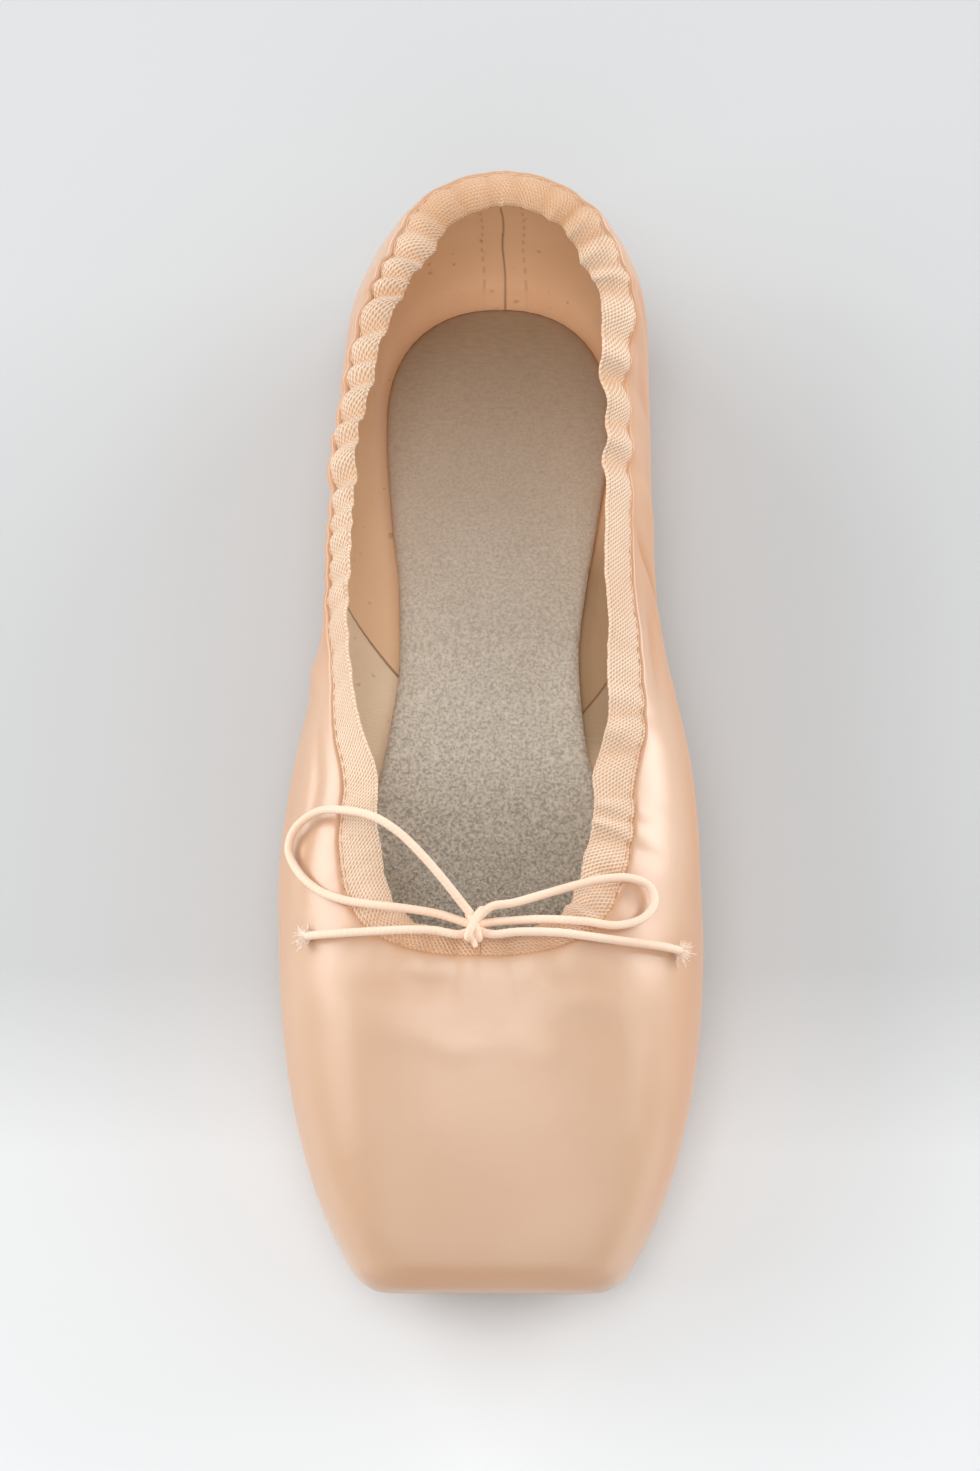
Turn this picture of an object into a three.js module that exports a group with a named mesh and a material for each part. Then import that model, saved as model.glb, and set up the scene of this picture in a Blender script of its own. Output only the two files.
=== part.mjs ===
// Pointe shoe: a hollow satin upper with a stiff toe box, closed underneath by a leather outsole, with an
// insole board inside, a tape casing round the collar and a drawstring tied in a bow at the throat.
// Millimetres. The toe points along -Y, the heel along +Y, +Z is up and the floor is z = 0.
// s is the distance from the toe platform towards the heel, so y = s - LENGTH / 2.
import * as THREE from 'three';

// Driving dimensions
const LENGTH = 238;
const GAP = 0.3;
const PLATFORM_EDGE = 4;
const PLATFORM_TILT = 0.16;
const PLATFORM_HIGH = 26;
const THROAT_AXIS = 94;
const HEEL_AXIS = 203;
const HEEL_ROUND = 2.15;
const SOLE_ROUND = 2.3;
const LEAN_HEIGHT = 26;
const RIM_WALL = 1.6;
const LAP = 8;
const OUTSOLE_THICK = 2.8;
const INSOLE_THICK = 2.2;
const TAPE_WIDTH = 9;
const TAPE_THICK = 1.8;
const CORD = 1.7;
const CORD_SIDES = 8;
const CORD_STEP = 4.8;

// Finishes
const SATIN = { color: 0xe9c3a6, roughness: 0.4 };
const TAPE = { color: 0xe3c3a4, roughness: 0.85 };
const BOARD = { color: 0x9a8878, roughness: 0.85 };
const LEATHER = { color: 0xc39a6c, roughness: 0.6 };
const COTTON = { color: 0xf0cfb4, roughness: 0.7 };

// Sections of the last. half is the half width, floor the height of the underside, flat the share of the
// half width that is level underneath, low the roundness below the widest line, wide the height of the
// widest line, crown the height of the top, up the roundness above the widest line and lean the sideways
// sag of the collar.
const SECTIONS = {
  columns: ['s', 'half', 'floor', 'flat', 'low', 'wide', 'crown', 'up', 'lean'],
  rows: [
    [0, 24.0, 5.2, 0.55, 2.6, 16.0, 29.4, 3.6, 0],
    [8, 29.0, 4.6, 0.56, 2.5, 16.5, 34.8, 3.5, 0],
    [18, 34.0, 4.0, 0.58, 2.4, 17.5, 39.6, 3.3, 0],
    [30, 38.0, 3.4, 0.62, 2.3, 19.0, 44.5, 3.1, 0],
    [46, 41.3, 3.1, 0.68, 2.2, 20.0, 49.7, 2.85, -0.6],
    [60, 42.7, 3.1, 0.70, 2.2, 21.0, 53.3, 2.7, -1.3],
    [72, 43.1, 3.1, 0.70, 2.2, 21.3, 53.7, 2.8, -1.4],
    [84, 42.7, 3.1, 0.69, 2.2, 21.5, 53.3, 3.0, -0.9],
    [104, 40.8, 3.3, 0.64, 2.2, 21.0, 50.2, 3.1, -0.2],
    [124, 38.0, 4.4, 0.58, 2.2, 20.0, 51.0, 2.7, -1.1],
    [146, 34.5, 5.6, 0.57, 2.2, 20.0, 58.0, 2.5, -3.4],
    [170, 33.3, 4.6, 0.65, 2.2, 21.0, 64.0, 2.4, -3.6],
    [188, 33.1, 3.1, 0.74, 2.2, 22.0, 66.0, 2.3, -2.4],
    [203, 32.8, 3.1, 0.76, 2.2, 22.0, 67.0, 2.3, 0.6],
    [218, 32.8, 3.1, 0.76, 2.2, 22.0, 67.0, 2.3, 1.6],
    [236, 32.8, 3.1, 0.76, 2.2, 22.0, 80.0, 2.3, 1.4],
  ],
};

// Satin edge seen from the side: its height, and how many degrees the tape on it curls in over the opening
// on the left and on the right. Below zero it stands steeper than the satin.
const COLLAR = {
  columns: ['s', 'z', 'left', 'right'],
  rows: [
    [0, 53.4, 64, 64], [59, 53.4, 64, 64], [62, 52.6, 62, 62], [66, 51.3, 56, 56], [74, 50.0, 38, 38],
    [80, 49.5, 16, 18], [86, 48.9, -5, -3], [94, 47.5, -15, -2], [104, 45.4, -25, 6],
    [120, 41.7, -25, 9], [128, 40.2, -18, 9], [136, 38.9, 4, 10], [146, 37.8, 28, 12],
    [160, 37.4, 38, 12], [180, 39.4, 44, 8], [195, 42.8, 42, 22], [205, 45.4, 50, 54],
    [213, 47.6, 68, 66], [223, 50.0, 86, 74], [240, 52.0, 96, 96],
  ],
};

// Wall thickness at the lap: thick in the stiff box, thin behind the wings
const WALL = {
  columns: ['s', 'thick'],
  rows: [[0, 3.0], [60, 3.0], [115, 1.9], [150, 1.6], [240, 1.6]],
};

// Flat pieces: width left and right of the middle line, along the shoe between rounded ends
const OUTSOLE = {
  columns: ['s', 'left', 'right'],
  rows: [
    [27, 24, 24], [60, 28.5, 28.5], [84, 28, 28], [104, 24, 24], [124, 18.8, 18.8], [146, 16.8, 16.8],
    [170, 19, 19], [195, 22.5, 22.5], [230, 22, 22],
  ],
  front: 27,
  frontRound: 34,
  back: 230,
  backRound: 26,
};
const INSOLE = {
  columns: ['s', 'left', 'right'],
  rows: [
    [18, 24, 22], [60, 29.8, 28], [84, 29.4, 27], [104, 26.6, 23.6], [122, 23, 18.9], [140, 20.8, 17.6],
    [156, 21.2, 19.2], [172, 23, 21.8], [195, 24.6, 24.4], [224, 24.4, 24.4],
  ],
  front: 18,
  frontRound: 40,
  back: 224,
  backRound: 27,
};

// Drawstring bow: points of each strand as x, s, z, from the knot outwards
const BOW = {
  drawstring_loop_left: [
    [-4.9, 70.4, 55.6], [-8.0, 74.2, 56.6], [-12.6, 79.6, 57.3], [-17.6, 84.6, 57.5], [-22.4, 87.9, 57.0],
    [-28.8, 90.5, 53.8], [-34.9, 92.0, 47.9], [-39.4, 89.6, 44.1], [-40.5, 85.9, 43.1], [-37.8, 79.5, 46.6],
    [-33.7, 75.3, 49.0], [-28.9, 72.6, 51.6], [-22.3, 70.9, 53.4], [-15.7, 70.0, 53.8], [-9.8, 68.9, 53.9],
    [-5.9, 67.6, 54.0],
  ],
  drawstring_end_left: [
    [-5.6, 64.4, 54.9], [-10.5, 65.3, 54.7], [-16.3, 65.5, 54.4], [-22.2, 65.5, 53.5], [-28.2, 65.6, 52.0],
    [-33.8, 66.0, 49.4], [-36.6, 66.3, 47.2],
  ],
  drawstring_loop_right: [
    [0.7, 70.0, 55.1], [5.0, 70.9, 54.7], [11.0, 72.9, 54.0], [18.9, 75.4, 53.4], [24.2, 76.7, 52.6],
    [28.4, 77.0, 51.3], [31.7, 76.0, 49.6], [32.8, 73.2, 48.9], [30.8, 69.5, 49.8], [25.6, 67.2, 51.8],
    [18.8, 67.5, 53.5], [11.0, 67.9, 53.6], [5.2, 67.7, 53.4], [0.8, 67.2, 53.8],
  ],
  drawstring_end_right: [
    [0.6, 64.4, 55.0], [6.0, 64.9, 54.9], [13.6, 65.0, 54.2], [19.0, 64.6, 53.3], [24.2, 64.2, 52.1],
    [29.6, 64.0, 50.2], [34.8, 64.4, 46.4], [38.2, 64.6, 42.8],
  ],
};

// Knot of the bow: its middle as x, s, z, its half sizes, and how far it tips with the tape under it
const KNOT = {
  middle: [-2.5, 66.2, 55.0],
  half: [2.7, 4.5, 2.3],
  tip: THREE.MathUtils.degToRad(-24),
};

// Directions round the shoe: degrees of the toe fan, steps of the straight stretch, degrees of the heel fan
const TOE_FAN = [0, 5, 9, 12, 14.5, 17, 20, 24, 29, 35, 42, 50, 58, 66, 74, 82];
const STRAIGHT_STEPS = 13;
const HEEL_STEPS = 10;
const CLIMB_STEPS = 19;
const LAP_SHARE = 0.1;
const TAPE_STEPS = 4;
const CURL_EASE = 0.8;
const FLAT_ROWS = 36;
const FLAT_COLUMNS = 4;
const KNOT_SIDES = 12;
const KNOT_RINGS = 8;
const RAY_STEPS = 240;
const RAY_LOW = THREE.MathUtils.degToRad(-150);
const RAY_HIGH = THREE.MathUtils.degToRad(165);
const RAY_ORIGIN = 0.55;
const FAR = 300;
const HALVINGS = 40;
const TINY = 1e-6;
const BEND_WEIGHT = 12;

// Monotone cubic curve through one column of a table, level beyond both ends
function columnCurve(table, name) {
  const column = table.columns.indexOf(name);
  const xs = table.rows.map((row) => row[0]);
  const ys = table.rows.map((row) => row[column]);
  const last = xs.length - 1;
  const widths = xs.slice(1).map((x, i) => x - xs[i]);
  const rises = widths.map((width, i) => (ys[i + 1] - ys[i]) / width);
  const slopes = xs.map((_, i) => {
    if (i === 0) return rises[0];
    if (i === last) return rises[last - 1];
    if (rises[i - 1] * rises[i] <= 0) return 0;
    const before = 2 * widths[i] + widths[i - 1];
    const after = widths[i] + 2 * widths[i - 1];
    return (before + after) / (before / rises[i - 1] + after / rises[i]);
  });
  return (x) => {
    const held = Math.min(Math.max(x, xs[0]), xs[last]);
    let i = 0;
    while (i < last - 1 && held >= xs[i + 1]) i += 1;
    const t = (held - xs[i]) / widths[i];
    const r = 1 - t;
    const level = r * r * (1 + 2 * t) * ys[i] + t * t * (3 - 2 * t) * ys[i + 1];
    return level + t * r * widths[i] * (r * slopes[i] - t * slopes[i + 1]);
  };
}

const curve = {};
for (const name of SECTIONS.columns.slice(1)) {
  curve[name] = columnCurve(SECTIONS, name);
}
const collarHeight = columnCurve(COLLAR, 'z');
const curlLeft = columnCurve(COLLAR, 'left');
const curlRight = columnCurve(COLLAR, 'right');
const lapWall = columnCurve(WALL, 'thick');

// Largest distance along a ray that is still inside
function reach(isInside) {
  let near = 0;
  let far = FAR;
  for (let i = 0; i < HALVINGS; i += 1) {
    const middle = (near + far) / 2;
    if (isInside(middle)) near = middle;
    else far = middle;
  }
  return near;
}

// True inside the closed form of the last, whose toe platform leans back below its top
function insideLast(x, s, z) {
  const front = s - PLATFORM_TILT * Math.max(PLATFORM_HIGH - z, 0);
  if (front < 0) return false;
  const rim = Math.min(front, PLATFORM_EDGE) - PLATFORM_EDGE;
  const inset = PLATFORM_EDGE - Math.sqrt(PLATFORM_EDGE ** 2 - rim ** 2);
  const half = curve.half(s) - inset;
  const floor = curve.floor(s) + inset;
  const crown = curve.crown(s) - inset;
  const wide = curve.wide(s);
  const above = z >= wide;
  const t = above ? (z - wide) / (crown - wide) : (wide - z) / (wide - floor);
  if (t >= 1) return false;
  const power = above ? curve.up(s) : curve.low(s);
  const level = above ? 0 : curve.flat(s);
  const share = level + (1 - level) * (1 - t ** power) ** (1 / power);
  const side = Math.abs(x) / half;
  const back = Math.max(s - HEEL_AXIS, 0) / (LENGTH - HEEL_AXIS);
  return side ** HEEL_ROUND + back ** HEEL_ROUND < share ** HEEL_ROUND;
}

// Width of a flat piece on one side of its middle line, with rounded ends, less an inset all round
function flatWidth(piece, side, s, inset = 0) {
  const frontRound = piece.frontRound - inset;
  const backRound = piece.backRound - inset;
  const ahead = Math.max(piece.front + piece.frontRound - s, 0) / frontRound;
  const behind = Math.max(s - piece.back + piece.backRound, 0) / backRound;
  const end = Math.max(ahead, behind);
  if (end >= 1) return 0;
  return (piece[side](s) - inset) * (1 - end ** SOLE_ROUND) ** (1 / SOLE_ROUND);
}
for (const piece of [OUTSOLE, INSOLE]) {
  piece.left = columnCurve(piece, 'left');
  piece.right = columnCurve(piece, 'right');
}

// Upright half planes round the shoe: a fan about the throat axis, straight sides, a fan about the heel axis
function makeStations() {
  const side = TOE_FAN.map((degrees) => ({ s: THROAT_AXIS, turn: THREE.MathUtils.degToRad(degrees) }));
  for (let i = 0; i < STRAIGHT_STEPS; i += 1) {
    const s = THROAT_AXIS + ((HEEL_AXIS - THROAT_AXIS) * i) / STRAIGHT_STEPS;
    side.push({ s, turn: Math.PI / 2 });
  }
  for (let i = 0; i <= HEEL_STEPS; i += 1) {
    side.push({ s: HEEL_AXIS, turn: (Math.PI / 2) * (1 + i / HEEL_STEPS) });
  }
  const other = side.slice(1, -1).reverse();
  return side.concat(other.map(({ s, turn }) => ({ s, turn: 2 * Math.PI - turn })));
}

// Points spaced along a line by length plus bend, so that they gather where it turns
function respace(line, steps) {
  const along = [0];
  for (let i = 1; i < line.length; i += 1) {
    const step = line[i].clone().sub(line[i - 1]);
    const next = i + 1 < line.length ? line[i + 1].clone().sub(line[i]) : step;
    const bend = step.length() > TINY && next.length() > TINY ? step.angleTo(next) : 0;
    along.push(along[i - 1] + step.length() + BEND_WEIGHT * bend);
  }
  const points = [];
  let i = 1;
  for (let k = 0; k <= steps; k += 1) {
    const at = (along[along.length - 1] * k) / steps;
    while (i < line.length - 1 && along[i] < at) i += 1;
    points.push(line[i - 1].clone().lerp(line[i], (at - along[i - 1]) / (along[i] - along[i - 1])));
  }
  return points;
}

// Outside of the upper in one half plane, from the lap's edge under the sole to the satin edge at the collar
function upperProfile(station) {
  const sideways = Math.sin(station.turn);
  const along = -Math.cos(station.turn);
  const sAt = (rho) => station.s + rho * along;
  const outline = reach((rho) => insideLast(rho * sideways, sAt(rho), curve.wide(sAt(rho))));
  const lapSide = sideways < 0 ? 'left' : 'right';
  const lapEdge = reach((rho) => Math.abs(rho * sideways) < flatWidth(OUTSOLE, lapSide, sAt(rho), LAP));
  const rho0 = RAY_ORIGIN * outline;
  const z0 = curve.wide(sAt(rho0));
  const line = [];
  for (let i = 0; i <= RAY_STEPS; i += 1) {
    const angle = RAY_LOW + ((RAY_HIGH - RAY_LOW) * i) / RAY_STEPS;
    const c = Math.cos(angle);
    const d = Math.sin(angle);
    const hit = reach((m) => insideLast((rho0 + m * c) * sideways, sAt(rho0 + m * c), z0 + m * d));
    line.push({ rho: rho0 + hit * c, z: z0 + hit * d });
  }
  const first = line.findIndex(({ rho, z }) => rho > lapEdge && z < z0);
  const kept = [{ rho: lapEdge, z: line[first].z }];
  for (let i = first; i < line.length; i += 1) {
    const over = line[i].z - collarHeight(sAt(line[i].rho));
    if (line[i].z > z0 && over > 0) {
      const under = line[i - 1].z - collarHeight(sAt(line[i - 1].rho));
      const share = under / (under - over);
      kept.push({
        rho: line[i - 1].rho + share * (line[i].rho - line[i - 1].rho),
        z: line[i - 1].z + share * (line[i].z - line[i - 1].z),
      });
      break;
    }
    kept.push(line[i]);
  }
  return respace(kept.map(({ rho, z }) => place(rho * sideways, sAt(rho), z)), CLIMB_STEPS);
}

// A point of the shoe in the part's frame, with the soft rear's sideways lean
function place(x, s, z) {
  const wide = curve.wide(s);
  const lean = curve.lean(s) * THREE.MathUtils.smoothstep(z, wide, wide + LEAN_HEIGHT);
  return new THREE.Vector3(x + lean, s - LENGTH / 2, z);
}

// Outward normals of a grid of points that closes on itself in its first direction
function gridNormals(grid) {
  const count = grid.length;
  const top = grid[0].length - 1;
  return grid.map((row, i) =>
    row.map((_, k) => {
      const around = grid[(i + 1) % count][k].clone().sub(grid[(i + count - 1) % count][k]);
      const climb = row[Math.min(k + 1, top)].clone().sub(row[Math.max(k - 1, 0)]);
      return around.cross(climb).normalize();
    }),
  );
}

// Closed band from rows of section points, each row a closed ring, round a closed loop
function ringGeometry(rings) {
  const around = rings.length;
  const across = rings[0].length;
  const positions = rings.flat().flatMap((point) => point.toArray());
  const index = [];
  for (let i = 0; i < around; i += 1) {
    const next = (i + 1) % around;
    for (let k = 0; k < across; k += 1) {
      const beside = (k + 1) % across;
      const a = i * across + k;
      const b = next * across + k;
      const c = next * across + beside;
      const d = i * across + beside;
      index.push(a, b, c, a, c, d);
    }
  }
  const geometry = new THREE.BufferGeometry();
  geometry.setAttribute('position', new THREE.Float32BufferAttribute(positions, 3));
  geometry.setIndex(index);
  geometry.computeVertexNormals();
  return geometry;
}

// Upper: the outer wall, and the same wall moved in by its thickness
function upperGeometry(outer, normals) {
  const rings = outer.map((row, i) => {
    const inner = row.map((point, k) => {
      const climb = THREE.MathUtils.smoothstep(k / CLIMB_STEPS, LAP_SHARE, 1);
      const thick = THREE.MathUtils.lerp(lapWall(point.y + LENGTH / 2), RIM_WALL, climb);
      return point.clone().addScaledVector(normals[i][k], -thick);
    });
    return row.concat(inner.reverse());
  });
  return ringGeometry(rings);
}

// Tape casing: a strip that stands on the satin edge and curls in over the opening
function bindingGeometry(outer, normals) {
  const rings = outer.map((row, i) => {
    const edge = row[CLIMB_STEPS];
    const out = normals[i][CLIMB_STEPS];
    const up = edge.clone().sub(row[CLIMB_STEPS - 1]).normalize();
    const centre = edge.clone().addScaledVector(out, -RIM_WALL / 2).addScaledVector(up, GAP);
    const curlAt = i > 0 && i < outer.length / 2 ? curlRight : curlLeft;
    const fullCurl = THREE.MathUtils.degToRad(curlAt(edge.y + LENGTH / 2));
    const face = [];
    const back = [];
    for (let k = 0; k <= TAPE_STEPS; k += 1) {
      const curl = fullCurl * (k / TAPE_STEPS) ** CURL_EASE;
      const ahead = up.clone().multiplyScalar(Math.cos(curl)).addScaledVector(out, -Math.sin(curl));
      const across = out.clone().multiplyScalar(Math.cos(curl)).addScaledVector(up, Math.sin(curl));
      if (k > 0) centre.addScaledVector(ahead, TAPE_WIDTH / TAPE_STEPS);
      face.push(centre.clone().addScaledVector(across, TAPE_THICK / 2));
      back.push(centre.clone().addScaledVector(across, -TAPE_THICK / 2));
    }
    return face.concat(back.reverse());
  });
  return ringGeometry(rings);
}

// Flat piece with rounded ends: rows across the shoe, closed by one point at each end
function flatGeometry(piece, underside, thick) {
  const positions = [];
  const index = [];
  const levels = [underside, (s) => underside(s) + thick];
  const middle = (piece.front + piece.back) / 2;
  const reachOut = (piece.back - piece.front) / 2;
  const endPoints = [];
  levels.forEach((level) => {
    const start = positions.length / 3;
    endPoints.push(start);
    for (let i = 0; i <= FLAT_ROWS; i += 1) {
      const s = middle - reachOut * Math.cos((Math.PI * i) / FLAT_ROWS);
      const atEnd = i === 0 || i === FLAT_ROWS;
      for (let k = 0; k <= (atEnd ? 0 : FLAT_COLUMNS); k += 1) {
        const share = atEnd ? 0 : (2 * k) / FLAT_COLUMNS - 1;
        const width = flatWidth(piece, share < 0 ? 'left' : 'right', s);
        positions.push(share * width, s - LENGTH / 2, level(s));
      }
    }
  });
  const perRow = FLAT_COLUMNS + 1;
  const lastPoint = (FLAT_ROWS - 1) * perRow + 1;
  const at = (layer, i, k) => {
    if (i === 0) return endPoints[layer];
    if (i === FLAT_ROWS) return endPoints[layer] + lastPoint;
    return endPoints[layer] + 1 + (i - 1) * perRow + k;
  };
  const triangle = (a, b, c) => {
    if (a !== b && b !== c && a !== c) index.push(a, b, c);
  };
  for (let i = 0; i < FLAT_ROWS; i += 1) {
    for (let k = 0; k < FLAT_COLUMNS; k += 1) {
      triangle(at(1, i, k), at(1, i, k + 1), at(1, i + 1, k + 1));
      triangle(at(1, i, k), at(1, i + 1, k + 1), at(1, i + 1, k));
      triangle(at(0, i, k), at(0, i + 1, k + 1), at(0, i, k + 1));
      triangle(at(0, i, k), at(0, i + 1, k), at(0, i + 1, k + 1));
    }
    triangle(at(0, i, FLAT_COLUMNS), at(0, i + 1, FLAT_COLUMNS), at(1, i + 1, FLAT_COLUMNS));
    triangle(at(0, i, FLAT_COLUMNS), at(1, i + 1, FLAT_COLUMNS), at(1, i, FLAT_COLUMNS));
    triangle(at(0, i, 0), at(1, i + 1, 0), at(0, i + 1, 0));
    triangle(at(0, i, 0), at(1, i, 0), at(1, i + 1, 0));
  }
  const geometry = new THREE.BufferGeometry();
  geometry.setAttribute('position', new THREE.Float32BufferAttribute(positions, 3));
  geometry.setIndex(index);
  geometry.computeVertexNormals();
  return geometry;
}

// Round cord along a smooth line through its points
function cordGeometry(points) {
  const route = points.map(([x, s, z]) => new THREE.Vector3(x, s - LENGTH / 2, z));
  const line = new THREE.CatmullRomCurve3(route);
  const section = new THREE.Shape();
  for (let i = 0; i < CORD_SIDES; i += 1) {
    const angle = (2 * Math.PI * i) / CORD_SIDES;
    const x = (CORD / 2) * Math.cos(angle);
    const y = (CORD / 2) * Math.sin(angle);
    if (i === 0) section.moveTo(x, y);
    else section.lineTo(x, y);
  }
  section.closePath();
  const steps = Math.round(line.getLength() / CORD_STEP);
  return new THREE.ExtrudeGeometry(section, { steps, extrudePath: line });
}

// Knot: one rounded lump
function knotGeometry() {
  const [x, s, z] = KNOT.middle;
  const lump = new THREE.SphereGeometry(1, KNOT_SIDES, KNOT_RINGS);
  lump.scale(...KNOT.half);
  lump.rotateX(KNOT.tip);
  lump.translate(x, s - LENGTH / 2, z);
  return lump;
}

const shoe = new THREE.Group();
shoe.name = 'pointe_shoe';

function addPiece(name, geometry, finish) {
  const material = new THREE.MeshStandardMaterial({ ...finish, metalness: 0 });
  const mesh = new THREE.Mesh(geometry, material);
  mesh.name = name;
  shoe.add(mesh);
}

const outer = makeStations().map(upperProfile);
const normals = gridNormals(outer);
addPiece('upper', upperGeometry(outer, normals), SATIN);
addPiece('binding', bindingGeometry(outer, normals), TAPE);
const outsoleUnderside = (s) => curve.floor(s) - GAP - OUTSOLE_THICK;
addPiece('outsole', flatGeometry(OUTSOLE, outsoleUnderside, OUTSOLE_THICK), LEATHER);
const insoleUnderside = (s) => curve.floor(s) + lapWall(s) + GAP;
addPiece('insole', flatGeometry(INSOLE, insoleUnderside, INSOLE_THICK), BOARD);
addPiece('drawstring_knot', knotGeometry(), COTTON);
for (const [name, points] of Object.entries(BOW)) {
  addPiece(name, cordGeometry(points), COTTON);
}

export default shoe;
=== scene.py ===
"""Looks of the pointe shoe: satin, lining, puckered tape casing, drawstring bow, insole board and sole.

Lengths in the tables are millimetres. s runs from the toe platform towards the heel, x to the right and z
up from the floor, as in the part's source. Blender's own objects are in metres.
"""
import math

import bmesh
import bpy
import numpy as np
from mathutils import Euler, Matrix, Vector


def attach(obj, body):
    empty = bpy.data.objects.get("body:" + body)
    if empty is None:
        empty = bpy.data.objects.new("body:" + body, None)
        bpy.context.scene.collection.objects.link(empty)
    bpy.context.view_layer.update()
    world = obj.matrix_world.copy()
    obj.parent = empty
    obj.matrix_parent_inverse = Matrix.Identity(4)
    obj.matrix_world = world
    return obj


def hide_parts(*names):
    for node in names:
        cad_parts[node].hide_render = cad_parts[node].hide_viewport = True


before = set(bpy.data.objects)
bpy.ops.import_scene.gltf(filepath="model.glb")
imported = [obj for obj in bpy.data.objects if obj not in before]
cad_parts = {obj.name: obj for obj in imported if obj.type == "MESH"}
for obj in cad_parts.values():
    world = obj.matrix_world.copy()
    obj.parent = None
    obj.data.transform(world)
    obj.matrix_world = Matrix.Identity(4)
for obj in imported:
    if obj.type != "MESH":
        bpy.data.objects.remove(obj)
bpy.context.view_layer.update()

MM = 0.001

# Sizes of the shoe, as in the part's source
LENGTH = 238.0
GAP = 0.3
PLATFORM_EDGE = 4.0
PLATFORM_TILT = 0.16
PLATFORM_HIGH = 26.0
THROAT_AXIS = 94.0
HEEL_AXIS = 203.0
HEEL_ROUND = 2.15
SOLE_ROUND = 2.3
LEAN_HEIGHT = 26.0
RIM_WALL = 1.6
LAP = 8.0
OUTSOLE_THICK = 2.8
INSOLE_THICK = 2.2
TAPE_WIDTH = 9.0
CORD = 1.7

# Sections of the last: half width, floor, level share of the bottom, power of the lower curve, height of
# the widest place, crown, power of the upper curve and sideways lean
SECTIONS = {
    "columns": ["s", "half", "floor", "flat", "low", "wide", "crown", "up", "lean"],
    "rows": [
        [0, 24.0, 5.2, 0.55, 2.6, 16.0, 29.4, 3.6, 0],
        [8, 29.0, 4.6, 0.56, 2.5, 16.5, 34.8, 3.5, 0],
        [18, 34.0, 4.0, 0.58, 2.4, 17.5, 39.6, 3.3, 0],
        [30, 38.0, 3.4, 0.62, 2.3, 19.0, 44.5, 3.1, 0],
        [46, 41.3, 3.1, 0.68, 2.2, 20.0, 49.7, 2.85, -0.6],
        [60, 42.7, 3.1, 0.70, 2.2, 21.0, 53.3, 2.7, -1.3],
        [72, 43.1, 3.1, 0.70, 2.2, 21.3, 53.7, 2.8, -1.4],
        [84, 42.7, 3.1, 0.69, 2.2, 21.5, 53.3, 3.0, -0.9],
        [104, 40.8, 3.3, 0.64, 2.2, 21.0, 50.2, 3.1, -0.2],
        [124, 38.0, 4.4, 0.58, 2.2, 20.0, 51.0, 2.7, -1.1],
        [146, 34.5, 5.6, 0.57, 2.2, 20.0, 58.0, 2.5, -3.4],
        [170, 33.3, 4.6, 0.65, 2.2, 21.0, 64.0, 2.4, -3.6],
        [188, 33.1, 3.1, 0.74, 2.2, 22.0, 66.0, 2.3, -2.4],
        [203, 32.8, 3.1, 0.76, 2.2, 22.0, 67.0, 2.3, 0.6],
        [218, 32.8, 3.1, 0.76, 2.2, 22.0, 67.0, 2.3, 1.6],
        [236, 32.8, 3.1, 0.76, 2.2, 22.0, 80.0, 2.3, 1.4],
    ],
}
# Height of the satin edge, and degrees by which the tape curls in on each side
COLLAR = {
    "columns": ["s", "z", "left", "right"],
    "rows": [
        [0, 53.4, 64, 64], [59, 53.4, 64, 64], [62, 52.6, 62, 62], [66, 51.3, 56, 56],
        [74, 50.0, 38, 38], [80, 49.5, 16, 18], [86, 48.9, -5, -3], [94, 47.5, -15, -2],
        [104, 45.4, -25, 6], [120, 41.7, -25, 9], [128, 40.2, -18, 9], [136, 38.9, 4, 10],
        [146, 37.8, 28, 12], [160, 37.4, 38, 12], [180, 39.4, 44, 8], [195, 42.8, 42, 22],
        [205, 45.4, 50, 54], [213, 47.6, 68, 66], [223, 50.0, 86, 74], [240, 52.0, 96, 96],
    ],
}
# Thickness of the upper at its lap
WALL = {
    "columns": ["s", "thick"],
    "rows": [[0, 3.0], [60, 3.0], [115, 1.9], [150, 1.6], [240, 1.6]],
}
# Half widths of the flat pieces, where they end and how far the ends are rounded
OUTSOLE = {
    "columns": ["s", "left", "right"],
    "rows": [
        [27, 24, 24], [60, 28.5, 28.5], [84, 28, 28], [104, 24, 24], [124, 18.8, 18.8],
        [146, 16.8, 16.8], [170, 19, 19], [195, 22.5, 22.5], [230, 22, 22],
    ],
    "front": 27,
    "front_round": 34,
    "back": 230,
    "back_round": 26,
}
INSOLE = {
    "columns": ["s", "left", "right"],
    "rows": [
        [18, 24, 22], [60, 29.8, 28], [84, 29.4, 27], [104, 26.6, 23.6], [122, 23, 18.9],
        [140, 20.8, 17.6], [156, 21.2, 19.2], [172, 23, 21.8], [195, 24.6, 24.4], [224, 24.4, 24.4],
    ],
    "front": 18,
    "front_round": 40,
    "back": 224,
    "back_round": 27,
}

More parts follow.
